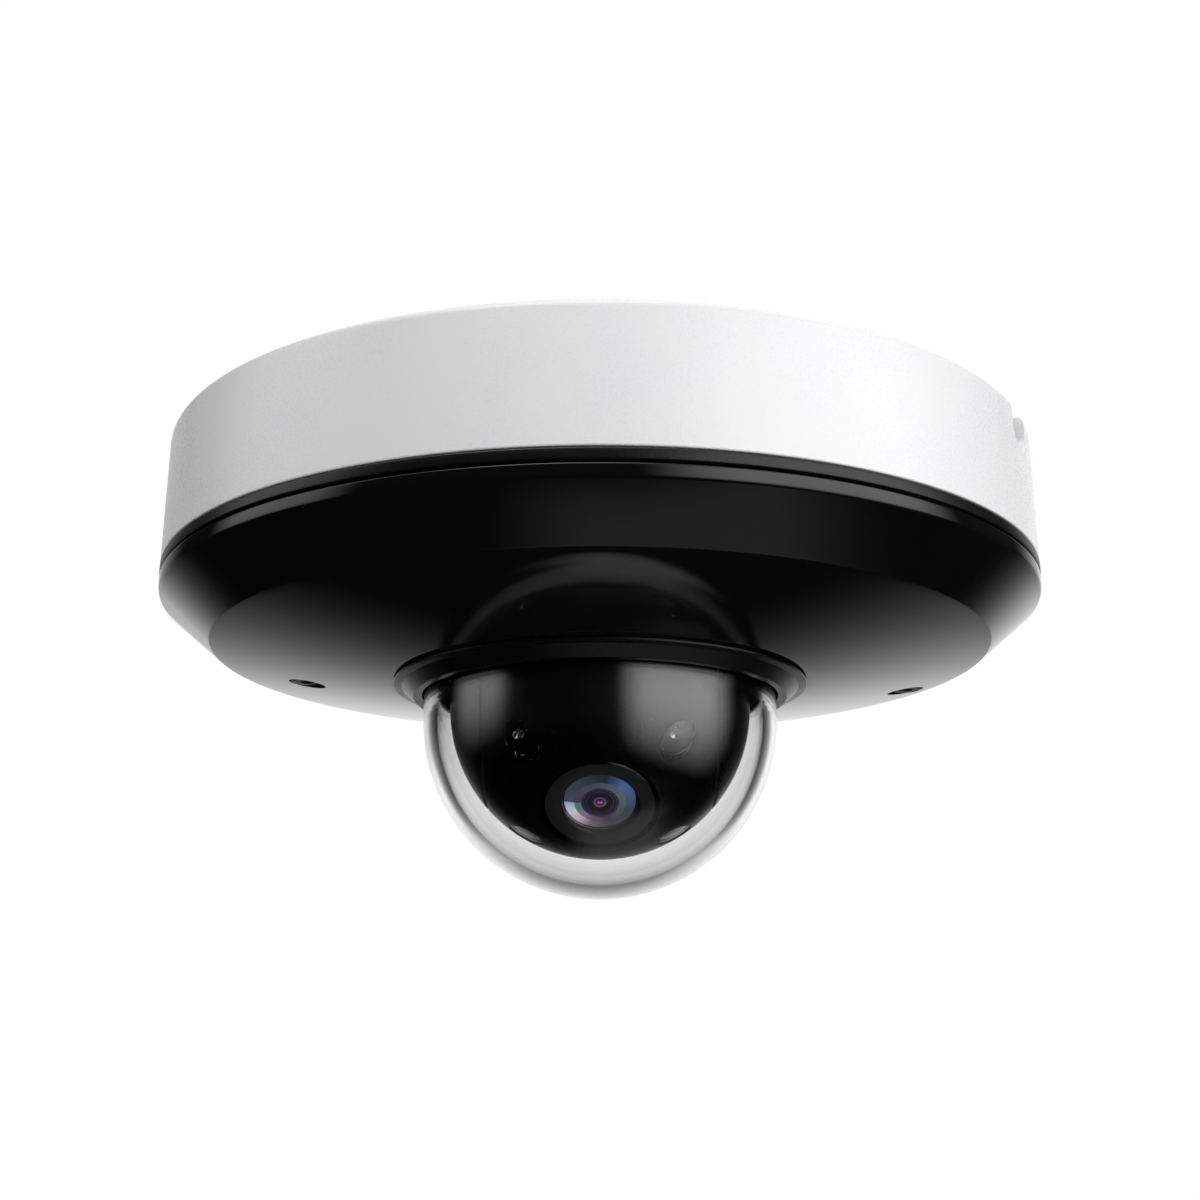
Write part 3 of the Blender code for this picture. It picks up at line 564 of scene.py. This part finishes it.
# %% Turn the band, with its three ears
BAND_INSIDE = 58 * MM
EAR_RADIUS = 4 * MM
SLOPE = radians(9)
HOLE_RADIUS = 30.4 * MM
band = lathe("black_band", rounded([
    (BAND_INSIDE, BAND_BOTTOM, 0.2 * MM),
    (RIM_RADIUS, BAND_BOTTOM, 0.3 * MM),
    (RIM_RADIUS - 0.05 * MM, BAND_TOP, 0.25 * MM),
    (BAND_INSIDE, BAND_TOP, 0.2 * MM),
]), sides=256)
screws = {}
for side in ("left", "right", "rear"):
    low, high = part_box(f"cover_screw_{side}")
    middle = (low + high) / 2
    screws[side] = middle
    distance, bearing = middle.xy.length, atan2(middle.y, middle.x)
    ear = slab((distance, -EAR_RADIUS, BAND_BOTTOM), (BAND_INSIDE + 1.5 * MM, EAR_RADIUS, BAND_TOP))
    carve(band, place(ear, turn=(0, 0, bearing)), "UNION")
    foot = CONE_BOTTOM + (distance - HOLE_RADIUS) * tan(SLOPE) + 2.8 * MM
    carve(band, rod(EAR_RADIUS, foot, BAND_TOP, 48, middle.xy), "UNION")
    carve(band, rod(1.6 * MM, foot - 1 * MM, 0, 24, middle.xy))
soften(band, 0.2 * MM, angle=60)
deliver(band, "base", black_grain.owner, "black_textured_plastic", "chassis_ring")

# %% The rubber of the gaskets
rubber = Finish("seal_rubber")
dust = rubber.noise(0.6 * MM, detail=3)
rubber.colour(dust, (0.008, 0.008, 0.008), (0.014, 0.014, 0.014))
rubber.rough(0.65 + 0.2 * dust)
rubber.bump(dust, 0.01 * MM)
for node, sides in (("cover_gasket", 256), ("dome_gasket", 128)):
    low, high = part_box(node)
    inner = {"cover_gasket": 62.7 * MM, "dome_gasket": DOME_RADIUS + 0.3 * MM}[node]
    edge = (high.z - low.z) * 0.4
    seal = lathe(f"{node}_ring", rounded([
        (inner, low.z, edge),
        (high.x, low.z, edge),
        (high.x, high.z, edge),
        (inner, high.z, edge),
    ]), sides=sides)
    deliver(seal, "base", rubber.owner, "seal_rubber", node)

# %% [markdown]
# ## The gloss cover
# This is the piece that makes the look: a polished black cover with a narrow upright lip, a
# steep chamfer and then a very shallow cone down to the dome. The cone is crowned by a sixth of
# a millimetre. That is a guess, and it moves the edge of the dome's reflection on the cone. Its
# edges are barely broken, so they draw thin bright lines. Rings of faces are kept close together
# where the screw recesses are cut, because on a mirror finish a long thin face beside a hole shows
# as a dent.

# %% Turn the cover
CROWN = 0.16 * MM
CHAMFER_RADIUS, CHAMFER_BOTTOM = 57.6 * MM, -29.4 * MM
LIP_BOTTOM, LIP_INSIDE = -23.06 * MM, 62.6 * MM
COLLAR_TOP, COLLAR_RADIUS = CONE_BOTTOM + 3.2 * MM, 36.5 * MM
RECESS_MOUTH, RECESS_DEPTH, BOLT_HOLE = 2.85 * MM, 1.3 * MM, 1.7 * MM
WELL_BELOW = -50 * MM


def cone(radius, above=0.0):
    """A point on the cover's shallow, slightly crowned cone, or that far above it."""
    inward = (CHAMFER_RADIUS - radius) / (CHAMFER_RADIUS - HOLE_RADIUS)
    crown = CROWN * 4 * inward * (1 - inward)
    return (radius, CHAMFER_BOTTOM - (CHAMFER_RADIUS - radius) * tan(SLOPE) - crown + above)


corners = [(*cone(HOLE_RADIUS), 0.15 * MM)]
corners += [(*cone(radius * MM), 0) for radius in range(32, 57, 2)]
corners += [
    (CHAMFER_RADIUS, CHAMFER_BOTTOM, 0.35 * MM),
    (62 * MM, CHAMFER_BOTTOM + (62 - 57.6) / (65 - 57.6) * (LIP_BOTTOM - CHAMFER_BOTTOM), 0),
    (RIM_RADIUS - 0.1 * MM, LIP_BOTTOM, 0.8 * MM),
    (RIM_RADIUS, LIP_TOP, 0.25 * MM),
    (LIP_INSIDE, LIP_TOP, 0.2 * MM),
    (LIP_INSIDE, LIP_BOTTOM, 0.4 * MM),
    (CHAMFER_RADIUS - 0.8 * MM, CHAMFER_BOTTOM + 2 * MM, 0.5 * MM),
    (*cone(COLLAR_RADIUS, 2 * MM), 0.4 * MM),
    (COLLAR_RADIUS, COLLAR_TOP, 0.3 * MM),
    (HOLE_RADIUS, COLLAR_TOP, 0.3 * MM),
]
cover = lathe("gloss_cover", rounded(corners, steps=5), sides=320)
for middle in screws.values():
    recess_floor = cone(middle.xy.length, RECESS_DEPTH)[1]
    carve(cover, rod(RECESS_MOUTH, WELL_BELOW, recess_floor, 48, middle.xy))
    carve(cover, rod(BOLT_HOLE, WELL_BELOW, -20 * MM, 24, middle.xy))
deliver(cover, "base", black_gloss.owner, "gloss_cover", "cover")

# %% [markdown]
# ## Screws
# The cover screws sit in round recesses, and their heads have a six-sided socket for a key. The
# head is a turned disc with a rounded rim. Its socket is a six-sided rod cut out of it.

# %% Steel, and the screws
steel = Finish("screw_steel", Metallic=1.0)
scuff = steel.noise(0.8 * MM, detail=4)
steel.colour(scuff, (0.42, 0.42, 0.43), (0.60, 0.60, 0.61))
steel.rough(0.22 + 0.22 * scuff)
steel.bump(scuff, 0.004 * MM)
blackened = Finish("blackened_steel", Metallic=0.6)
scuff = blackened.noise(0.8 * MM, detail=4)
blackened.colour(scuff, (0.02, 0.02, 0.021), (0.05, 0.05, 0.052))
blackened.rough(0.30 + 0.25 * scuff)
blackened.bump(scuff, 0.004 * MM)


def key_screw(name, node, shank, head_height, finish, upside_down=False):
    """A screw in the place of a node, with its head at the bottom, or at the top."""
    low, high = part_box(node)
    length, radius = high.z - low.z, (high.x - low.x) / 2
    body = lathe(name, rounded([
        (0, 0, 0), (radius, 0, 0.3 * MM), (radius, head_height, 0.1 * MM), (shank, head_height, 0.1 * MM),
        (shank, length - 0.5 * MM, 0), (shank * 0.4, length, 0), (0, length, 0)]), sides=40)
    carve(body, rod(radius * 0.5, -1 * MM, head_height * 0.7, 6))
    middle = (low + high) / 2
    if upside_down:
        place(body, turn=(pi, 0, 0), at=(middle.x, middle.y, high.z))
    else:
        place(body, at=(middle.x, middle.y, low.z))
    deliver(body, "base", finish, "steel", node)


for side in screws:
    key_screw(f"cover_bolt_{side}", f"cover_screw_{side}", 1.25 * MM, 1.0 * MM, blackened.owner)
for number in (1, 2, 3):
    key_screw(f"retainer_bolt_{number}", f"retainer_screw_{number}", 0.8 * MM, 0.9 * MM, steel.owner, True)
    key_screw(f"board_bolt_{number}", f"board_screw_{number}", 1.0 * MM, 1.0 * MM, steel.owner)

# %% [markdown]
# ## The trim ring
# The dome comes out through a black grained ring. From the outside in it has a thin upright lip,
# a narrow flat, a steep cone and a small foot with a rounded inner edge. Its neck goes up
# through the cover's hole.

# %% Turn the trim ring
NECK, TRIM_INSIDE = HOLE_RADIUS - 0.3 * MM, DOME_RADIUS + 0.3 * MM
TRIM_LIP_TOP = -33.93 * MM
trim = lathe("dome_trim", rounded([
    (TRIM_INSIDE, TRIM_LOW + 0.2 * MM, 0),
    (DOME_RADIUS + 0.5 * MM, TRIM_LOW, 0.15 * MM),
    (27.75 * MM, TRIM_LOW, 0.2 * MM),
    (29.5 * MM, -34.45 * MM, 0.25 * MM),
    (TRIM_RADIUS - 0.1 * MM, -34.25 * MM, 0.12 * MM),
    (TRIM_RADIUS, TRIM_LIP_TOP, 0.1 * MM),
    (NECK, TRIM_LIP_TOP, 0.1 * MM),
    (NECK, TRIM_HIGH, 0.3 * MM),
    (TRIM_INSIDE, TRIM_HIGH, 0.3 * MM),
]), sides=256)
deliver(trim, "base", black_grain.owner, "black_textured_plastic", "trim_ring")

# %% [markdown]
# ## The dome
# The bubble is moulded clear plastic, two millimetres thick: half a sphere, a short cylinder
# and a flange. It is modelled with its real inner and outer walls, because the bright rim and
# the dark line inside it are made by the thickness, where light bends through the wall edgewise.

# %% Clear plastic, and the dome
clear = Finish("clear_dome", Transmission_Weight=1.0, IOR=1.49)
haze = clear.noise(20 * MM)
clear.colour(haze, (0.955, 0.96, 0.962), (0.965, 0.968, 0.97))
clear.rough(0.002 + 0.004 * haze)
WALL = 2.0 * MM
FLANGE_BOTTOM = DOME_HIGH - 1.2 * MM
inner = DOME_RADIUS - WALL
bubble = lathe("clear_bubble", [
    (inner, DOME_HIGH),
    *arc((0, DOME_CENTRE), inner, 0, -90, 48),
    *arc((0, DOME_CENTRE), DOME_RADIUS, -90, 0, 48),
    (DOME_RADIUS, FLANGE_BOTTOM),
    (DOME_FLANGE, FLANGE_BOTTOM),
    (DOME_FLANGE, DOME_HIGH),
], sides=192)
deliver(bubble, "base", clear.owner, "clear_dome", "dome")

# %% [markdown]
# ## The ball
# Inside the dome is a ball of three slices. The middle slice tilts and carries the lens. The two
# outer slices are covers on the yoke, so they only pan. All three share one sphere, and the gap
# between them is the upright seam that can be seen on each side.
#
# The middle slice is turned about a level axis as a drum with a round rim, then cut in two
# halves. It is drawn with the lens looking up, and turned to its real direction at the end.

# %% Turn the middle slice
HALF_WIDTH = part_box("ball_front_shell")[1].x
BALL_WALL = 1.5 * MM
WALL_OUT, WALL_IN = 15.4 * MM, 14.0 * MM
RECESS_RADIUS = 14.3 * MM
TRUNNION_HOLE = 2.2 * MM


def ball_drum(name, keep_front):
    """The middle slice, with only its front or only its rear half kept."""
    shell = BALL_RADIUS - BALL_WALL
    end = degrees(atan2(HALF_WIDTH - 0.2 * MM, sqrt(BALL_RADIUS**2 - HALF_WIDTH**2)))
    end_inside = degrees(atan2(WALL_IN, sqrt(shell**2 - WALL_IN**2)))
    outline = arc((0, 0), BALL_RADIUS, -end, end, 48)
    outline += [(RECESS_RADIUS + 0.6 * MM, HALF_WIDTH), (RECESS_RADIUS, HALF_WIDTH - 0.1 * MM)]
    outline += [(RECESS_RADIUS, WALL_OUT), (TRUNNION_HOLE, WALL_OUT), (TRUNNION_HOLE, WALL_IN)]
    outline += arc((0, 0), shell, end_inside, -end_inside, 24)
    outline += [(TRUNNION_HOLE, -WALL_IN), (TRUNNION_HOLE, -WALL_OUT), (RECESS_RADIUS, -WALL_OUT)]
    outline += [(RECESS_RADIUS, 0.1 * MM - HALF_WIDTH), (RECESS_RADIUS + 0.6 * MM, -HALF_WIDTH)]
    drum_shell = place(lathe(name, outline, sides=192), turn=(0, pi / 2, 0))
    far, gap = 40 * MM, 0.15 * MM
    low, high = (-far, gap) if keep_front else (-gap, far)
    carve(drum_shell, slab((-far, -far, low), (far, far, high)))
    return drum_shell


front_shell = ball_drum("ball_front", True)
rear_shell = ball_drum("ball_rear", False)

# %% Cut the lens hole and the four lamp holes
BEZEL_RADIUS = 8.15 * MM
LAMP_ACROSS, LAMP_UP = 10.5 * MM, 8.8 * MM
# With the lens looking up, the top of the ball lies towards +Y.
lamps = [(side * LAMP_ACROSS, up * LAMP_UP) for up in (1, -1) for side in (-1, 1)]
carve(front_shell, rod(BEZEL_RADIUS + 0.15 * MM, 15 * MM, 30 * MM, 96))
for spot in lamps:
    carve(front_shell, rod(2.5 * MM, 8 * MM, 30 * MM, 48, spot))
soften(front_shell, 0.14 * MM, angle=38)
carve(rear_shell, place(rod(1.4 * MM, -20 * MM, -10 * MM, 24), turn=(0, pi / 2, 0), at=(0, 0, -7.5 * MM)))
soften(rear_shell, 0.14 * MM, angle=38)
deliver(look_down(front_shell), "tilt_head", black_grain.owner, "black_textured_plastic", "ball_front_shell")
deliver(look_down(rear_shell), "tilt_head", black_grain.owner, "black_textured_plastic", "ball_rear_shell")

# %% [markdown]
# The covers of the yoke are the same sphere beyond the seam. They are hollow, with a slot above
# for the yoke's arm. One is made and the other is its mirror image, with its faces turned back
# the right way after the mirroring.

# %% The two side covers
CAP_FACE = 16.5 * MM
for side, sign in (("left", -1), ("right", 1)):
    hollow = BALL_RADIUS - 1.7 * MM
    mouth, mouth_inside = sqrt(BALL_RADIUS**2 - CAP_FACE**2), sqrt(hollow**2 - CAP_FACE**2)
    start, start_inside = degrees(atan2(CAP_FACE, mouth)), degrees(atan2(CAP_FACE, mouth_inside))
    outline = [(mouth - 0.2 * MM, CAP_FACE)]
    outline += arc((0, 0), BALL_RADIUS, start + 0.5, 90, 28)
    outline += arc((0, 0), hollow, 90, start_inside, 16)
    cap = place(lathe(f"yoke_cover_{side}", outline, sides=160), turn=(0, pi / 2, 0))
    carve(cap, slab((17.5 * MM, -6.8 * MM, -6.8 * MM), (19.7 * MM, 6.8 * MM, 30 * MM)))
    soften(cap, 0.12 * MM, angle=45)
    only(cap)
    bpy.ops.transform.resize(value=(sign, 1, 1), center_override=(0, 0, 0))
    place(cap, at=(0, 0, BALL_CENTRE))
    bpy.ops.object.mode_set(mode="EDIT")
    bpy.ops.mesh.select_all(action="SELECT")
    bpy.ops.mesh.normals_make_consistent(inside=False)
    bpy.ops.object.mode_set(mode="OBJECT")
    deliver(cap, "pan_head", black_grain.owner, "black_textured_plastic", f"side_cap_{side}")

# %% [markdown]
# ## The lens
# A flat ring with a fine turned finish frames the glass. Its edge is a polished chamfer, a piece
# of its own, which is black but for one crescent where it mirrors the big soft box. The front
# glass is a shallow convex lens, and close under it lie the blackened bevels of the elements
# behind. They are real steps in the mesh, so that they catch the light as circles, and their
# colours are painted reflections.

# %% The ring round the lens
turned_black = Finish("turned_black")
tooling = turned_black.noise(0.2 * MM)
tone = turned_black.noise(3 * MM)
turned_black.colour(tone, (0.019, 0.019, 0.021), (0.025, 0.025, 0.027))
turned_black.rough(0.34 + 0.12 * tooling)
turned_black.bump(tooling, 0.006 * MM)
RING_BACK, FACE_RADIUS = 19.3 * MM, BEZEL_RADIUS - 0.65 * MM
RIM_INSIDE, RIM_OUTSIDE = FACE_RADIUS + 0.02 * MM, BEZEL_RADIUS - 0.12 * MM
bezel = lathe("lens_ring", rounded([
    (5.15 * MM, RING_BACK, 0),
    (FACE_RADIUS, RING_BACK, 0.1 * MM),
    (FACE_RADIUS, 20.52 * MM, 0.04 * MM),
    (5.5 * MM, 20.42 * MM, 0.05 * MM),
    (5.2 * MM, 20.1 * MM, 0.05 * MM),
]), sides=160)
deliver(look_down(bezel), "tilt_head", turned_black.owner, "lens_parts_black", "lens_bezel")
rim = lathe("lens_ring_rim", rounded([
    (RIM_INSIDE, RING_BACK, 0),
    (RIM_OUTSIDE, RING_BACK, 0),
    (RIM_OUTSIDE, 19.95 * MM, 0.05 * MM),
    (FACE_RADIUS + 0.05 * MM, 20.46 * MM, 0.03 * MM),
    (RIM_INSIDE, 20.44 * MM, 0),
]), sides=160)
deliver(look_down(rim), "tilt_head", black_gloss.owner, "lens_parts_black")

# %% The front glass
coated = Finish("coated_glass", Transmission_Weight=1.0, IOR=1.25)
film = coated.noise(6 * MM)
coated.colour(film, (0.95, 0.96, 1.0), (0.98, 0.97, 1.0))
coated.rough(0.003 + 0.005 * film)
GLASS_RADIUS = 5.0 * MM


def bulge(height, rise, points):
    """Points along a shallow convex face, from the rim to the middle."""
    steps = [GLASS_RADIUS * (1 - i / points) for i in range(points)]
    return [(r, height + rise * (1 - (r / GLASS_RADIUS) ** 2)) for r in steps] + [(0, height + rise)]


front_glass = lathe("front_glass", [
    *reversed(bulge(19.76 * MM, 0.5 * MM, 12)),
    *bulge(19.98 * MM, 0.6 * MM, 16),
], sides=128)
deliver(look_down(front_glass), "tilt_head", coated.owner, "lens_glass", "front_lens")

# %% [markdown]
# The coatings on a lens turn what they reflect green, violet and blue, a little differently all
# the way round. Here those reflections are painted: painted reflection colours are fixed to the
# lens and glow a little by emission, with a painted white highlight low on the left and two small
# painted glints beside the middle. The pattern is worked out on the lens's own axes: a Mapping
# node moves the coordinates to the ball's centre and turns them, so that z runs along the lens.
# The distance from z picks the ring, and the angle round z picks the painted colour.

# %% The painted reflections on the rings
BEVEL_EDGE, IRIS_EDGE = 3.56 * MM, 2.62 * MM
# Painted reflections: these colours stand in for what the lens coatings mirror, and the emission makes them
# glow.
painted_reflections = Finish("lens_painted_reflections", Specular_IOR_Level=0.2, Emission_Strength=0.55)
turned_to = {"Vector": painted_reflections.spot, "Location": (0, 0, BALL_CENTRE), "Rotation": (pi / 2 + REST_TILT, 0, 0)}
local = painted_reflections.add("ShaderNodeMapping", {"vector_type": "TEXTURE"}, turned_to)
flat = painted_reflections.add("ShaderNodeVectorMath", {"operation": "MULTIPLY"}, {0: local, 1: (1, 1, 0)})
radius = painted_reflections.add("ShaderNodeVectorMath", {"operation": "LENGTH"}, {0: flat}, output=1)
angle = painted_reflections.add("ShaderNodeTexGradient", {"gradient_type": "RADIAL"}, {"Vector": flat}, output=1)


def around(*stops):
    """A painted reflection colour for each part of the circle, which starts at the left and goes by the
    bottom.
    """
    return painted_reflections.add("ShaderNodeValToRGB", {"stops": stops}, {0: angle})


def layer(inside, below, above):
    """Shows one painted colour where inside is 1, over another."""
    return painted_reflections.add("ShaderNodeMix", {"data_type": "RGBA"}, {0: inside, 6: below, 7: above}, output=2)


# The bevel ring's painted reflections, with a painted white highlight low on the left at 0.07.
bevel_painted_reflection = around(
    (0.00, (0.42, 0.62, 0.98)), (0.07, (1.00, 0.96, 1.00)), (0.13, (0.86, 0.64, 0.80)),
    (0.20, (0.22, 0.19, 0.18)), (0.30, (0.060, 0.064, 0.080)), (0.46, (0.07, 0.09, 0.13)),
    (0.62, (0.10, 0.20, 0.46)), (0.72, (0.028, 0.028, 0.045)), (0.98, (0.10, 0.11, 0.17)),
)
second_painted_reflection = around(
    (0.00, (0.12, 0.36, 0.21)), (0.06, (0.14, 0.34, 0.24)), (0.12, (0.46, 0.24, 0.44)),
    (0.20, (0.16, 0.13, 0.17)), (0.30, (0.065, 0.065, 0.08)), (0.50, (0.13, 0.18, 0.20)),
    (0.62, (0.13, 0.17, 0.21)), (0.78, (0.11, 0.11, 0.14)), (0.98, (0.10, 0.08, 0.11)),
)
iris_painted_reflection = painted_reflections.add("ShaderNodeValToRGB", {"stops": (
    (0.00, (0.16, 0.02, 0.40)), (0.15, (0.12, 0.02, 0.26)), (0.20, (0.03, 0.010, 0.03)),
    (0.30, (0.30, 0.11, 0.20)), (0.37, (0.006, 0.009, 0.009)), (0.68, (0.006, 0.009, 0.009)),
    (0.71, (0.06, 0.04, 0.12)), (0.75, (0.008, 0.011, 0.011)), (0.95, (0.06, 0.03, 0.11)),
)}, {0: radius * (1 / IRIS_EDGE)})
rings = layer(radius < BEVEL_EDGE, bevel_painted_reflection, second_painted_reflection)
painted_reflection = layer(radius < IRIS_EDGE, rings, iris_painted_reflection)
# Two small pink painted glints, one on each side of the middle of the lens.
for across in (-0.20 * MM, 0.20 * MM):
    ends = {0: flat, 1: (across, 0, 0)}
    from_painted_glint = painted_reflections.add("ShaderNodeVectorMath", {"operation": "DISTANCE"}, ends, output=1)
    painted_reflection = layer(from_painted_glint < 0.12 * MM, painted_reflection, (1.0, 0.55, 0.85, 1))
# The painted reflection colour is both the base colour and the glow, so the lens glows though it is no lamp.
painted_reflections.plug(painted_reflections.shader.inputs["Base Color"], painted_reflection)
painted_reflections.plug(painted_reflections.shader.inputs["Emission Color"], painted_reflection)
frost = painted_reflections.noise(0.4 * MM)
painted_reflections.rough(0.40 + 0.10 * frost)

# %% The stepped rings under the glass
rings_piece = lathe("lens_rings", [(across * MM, along * MM) for across, along in (
    (4.9, 18.9), (4.9, 19.62), (4.8, 19.68), (3.62, 19.92), (3.56, 19.87), (3.50, 19.93),
    (2.70, 20.02), (2.62, 19.94), (2.52, 19.93), (2.48, 19.98), (2.40, 19.93), (2.36, 19.98),
    (2.28, 19.92), (1.92, 19.90), (1.86, 19.96), (1.80, 19.88), (0.96, 19.82), (0.88, 19.90),
    (0.78, 19.82), (0.50, 19.80), (0.42, 19.86), (0.20, 19.92), (0, 19.93), (0, 18.9),
)], sides=128)
deliver(look_down(rings_piece), "tilt_head", painted_reflections.owner, "lens_parts_black")

# %% [markdown]
# ## The infrared lamps
# Each lamp has a clear window, set just below the ball's face. Behind it, in a black cup, stands its
# lead frame: an anvil with a silvered dish that holds the chip, and a thin post beside it. The
# window is the common part of a rod and a sphere, with a smaller sphere cut out of its back.

# %% Four lamps
silver = Finish("silvered_frame", Metallic=1.0)
blur = silver.noise(0.5 * MM)
silver.colour(blur, (0.55, 0.55, 0.56), (0.8, 0.8, 0.8))
silver.rough(0.16 + 0.16 * blur)
matt = Finish("matt_black", Specular_IOR_Level=0.05)
dust = matt.noise(0.2 * MM)
matt.colour(dust, (0.002, 0.002, 0.002), (0.004, 0.004, 0.004))
matt.rough(0.8 + 0.15 * dust)
resin = Finish("clear_resin", Transmission_Weight=1.0, IOR=1.5)
haze = resin.noise(2 * MM)
resin.colour(haze, (0.80, 0.81, 0.82), (0.88, 0.88, 0.88))
resin.rough(0.01 + 0.02 * haze)


def profile(*points):
    """An outline given in millimetres."""
    return [(across * MM, along * MM) for across, along in points]


def globe(radius, sides=256):
    """A sphere about the ball's centre, to cut with."""
    bpy.ops.object.select_all(action="DESELECT")
    bpy.ops.mesh.primitive_uv_sphere_add(segments=sides, ring_count=sides // 2, radius=radius)
    return bpy.context.object


WINDOW_RADIUS, WINDOW_THICKNESS, SUNK = 2.34 * MM, 1.14 * MM, 0.16 * MM
for number, spot in enumerate(lamps, start=1):
    window = rod(WINDOW_RADIUS, 11.6 * MM, 25 * MM, 64, spot)
    window.name = f"lamp_resin_{number}"
    carve(window, globe(BALL_RADIUS - SUNK), "INTERSECT")
    carve(window, globe(BALL_RADIUS - SUNK - WINDOW_THICKNESS))
    deliver(look_down(window), "tilt_head", resin.owner, "lamp_lens", f"infrared_lamp_{number}")
    holder = lathe(f"lamp_holder_{number}", profile(
        (0, 11.6), (2.45, 11.6), (2.45, 20.0), (2.30, 20.0), (2.30, 11.75), (0, 11.75),
    ), sides=48)
    place(holder, at=(*spot, 0))
    carve(holder, globe(BALL_RADIUS - BALL_WALL - 0.1 * MM, 96), "INTERSECT")
    deliver(look_down(holder), "tilt_head", matt.owner, "lens_parts_black")
    leads = lathe(f"lamp_frame_{number}", profile(
        (0, 14.5), (0.40, 14.5), (0.85, 15.35), (0.85, 15.5), (0.74, 15.5), (0.40, 14.85),
        (0.20, 14.85), (0.20, 15.05), (0, 15.05),
    ), sides=32)
    carve(leads, slab((-0.42 * MM, -0.22 * MM, 11.8 * MM), (0.42 * MM, 0.22 * MM, 14.6 * MM)), "UNION")
    place(leads, at=(-0.45 * MM, 0, 0))
    carve(leads, slab((0.55 * MM, -0.20 * MM, 11.8 * MM), (0.92 * MM, 0.20 * MM, 15.3 * MM)), "UNION")
    soften(leads, 0.03 * MM, angle=50)
    place(leads, turn=(0, 0, radians(30)), at=(*spot, 0))
    deliver(look_down(leads), "tilt_head", silver.owner, "lamp_lens")

# %% [markdown]
# ## The mounting plate
# From above the camera shows its steel plate, which is screwed to the ceiling. A real one is
# pressed: it has a hole for the cable, three screw holes and a raised stiffening ring.

# %% Press the plate
zinc = Finish("zinc_plate", Metallic=1.0)
flake = zinc.add("ShaderNodeTexVoronoi", inputs={"Vector": zinc.spot, "Scale": 160.0}, output=1)
grey = zinc.add("ShaderNodeSeparateColor", inputs={0: flake})
zinc.colour(grey, (0.50, 0.51, 0.52), (0.62, 0.63, 0.64))
zinc.rough(0.30 + 0.14 * grey)
zinc.bump(grey, 0.004 * MM)
plate_low, plate_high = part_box("mounting_plate")
plate = lathe("zinc_mounting_plate", rounded([
    (0, plate_low.z, 0),
    (20 * MM, plate_low.z, 0.4 * MM),
    (plate_high.x, plate_low.z, 0.2 * MM),
    (plate_high.x, 0, 0.3 * MM),
    (30 * MM, 0, 0),
    (27.5 * MM, 0, 0.4 * MM),
    (27 * MM, -0.5 * MM, 0.4 * MM),
    (25 * MM, -0.5 * MM, 0.4 * MM),
    (24.5 * MM, 0, 0.4 * MM),
    (0, 0, 0),
]), sides=192)
carve(plate, rod(12 * MM, -5 * MM, 5 * MM, 64, ((socket_low + socket_high) / 2).xy))
SCREW_CIRCLE = 44 * MM
for number in range(3):
    turn = radians(-75 + 120 * number)
    spot = (SCREW_CIRCLE * cos(turn), SCREW_CIRCLE * sin(turn))
    carve(plate, rod(2.3 * MM, -5 * MM, 5 * MM, 32, spot))
deliver(plate, "base", zinc.owner, "steel", "mounting_plate")

# %% [markdown]
# ## Finishes for what is inside
# The remaining pieces keep their plain solids, because they are hidden or nearly so. Each still
# gets a finish that suits it: green boards with tracks, matt chips, milky gear plastic, drawn
# aluminium and rolled steel.

# %% Board, chip, gear plastic and aluminium
board = Finish("green_board")
patch = board.add("ShaderNodeTexVoronoi", {"distance": "CHEBYCHEV"}, {"Vector": board.spot, "Scale": 420.0})
board.colour(patch, (0.010, 0.11, 0.045), (0.03, 0.20, 0.08))
board.rough(0.35 + 0.15 * patch)
board.bump(patch, 0.02 * MM)

chip = Finish("moulded_chip")
dust = chip.noise(0.2 * MM, detail=3)
chip.colour(dust, (0.018, 0.018, 0.020), (0.030, 0.030, 0.032))
chip.rough(0.5 + 0.2 * dust)
chip.bump(dust, 0.008 * MM)

nylon = Finish("milky_nylon", Subsurface_Weight=0.1)
cloud = nylon.noise(4 * MM)
nylon.colour(cloud, (0.72, 0.70, 0.64), (0.80, 0.78, 0.72))
nylon.rough(0.40 + 0.15 * cloud)
nylon.bump(cloud, 0.01 * MM)

drawn = Finish("drawn_aluminium", Metallic=1.0)
lines = drawn.add("ShaderNodeMapping", inputs={"Vector": drawn.spot, "Scale": (4000.0, 4000.0, 150.0)})
streak = drawn.add("ShaderNodeTexNoise", inputs={"Vector": lines, "Scale": 1.0})
drawn.colour(streak, (0.52, 0.53, 0.54), (0.66, 0.67, 0.68))
drawn.rough(0.28 + 0.16 * streak)
drawn.bump(streak, 0.004 * MM)

INSIDE = {
    board: ("main_board", "sensor_board", "lamp_board"),
    chip: ("processor", "memory_card", "image_sensor", "reset_switch"),
    nylon: ("pan_gear", "pan_pinion", "tilt_ring_gear", "tilt_pinion", "reset_button"),
    drawn: ("heat_sink", "yoke_arm_left", "yoke_arm_right"),
    steel: ("network_socket", "card_socket", "pan_motor", "tilt_motor", "pan_bearing_outer",
            "pan_bearing_inner", "hub_nut", "trunnion_left", "trunnion_right"),
    black_grain: ("turntable", "dome_retainer", "lens_barrel", "lens_holder"),
    coated: ("infrared_filter",),
}
for finish, nodes in INSIDE.items():
    for node in nodes:
        mesh = frame["nodes"][node].data
        mesh.materials.clear()
        mesh.materials.append(finish.owner)
print("inner pieces finished:", sum(len(nodes) for nodes in INSIDE.values()))

# %% [markdown]
# ## Check the size
# The fine model must be as large as the plain one. Both boxes are measured, and their difference
# is printed in millimetres.

# %% Compare both boxes, and finish
fine_low, fine_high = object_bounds()
boxes = {"cad": [list(cad_low), list(cad_high)], "visual": [list(fine_low), list(fine_high)]}
gaps = [round((fine - cad) / MM, 2) for fine, cad in zip(sum(boxes["visual"], []), sum(boxes["cad"], []))]
print("difference in mm:", gaps)
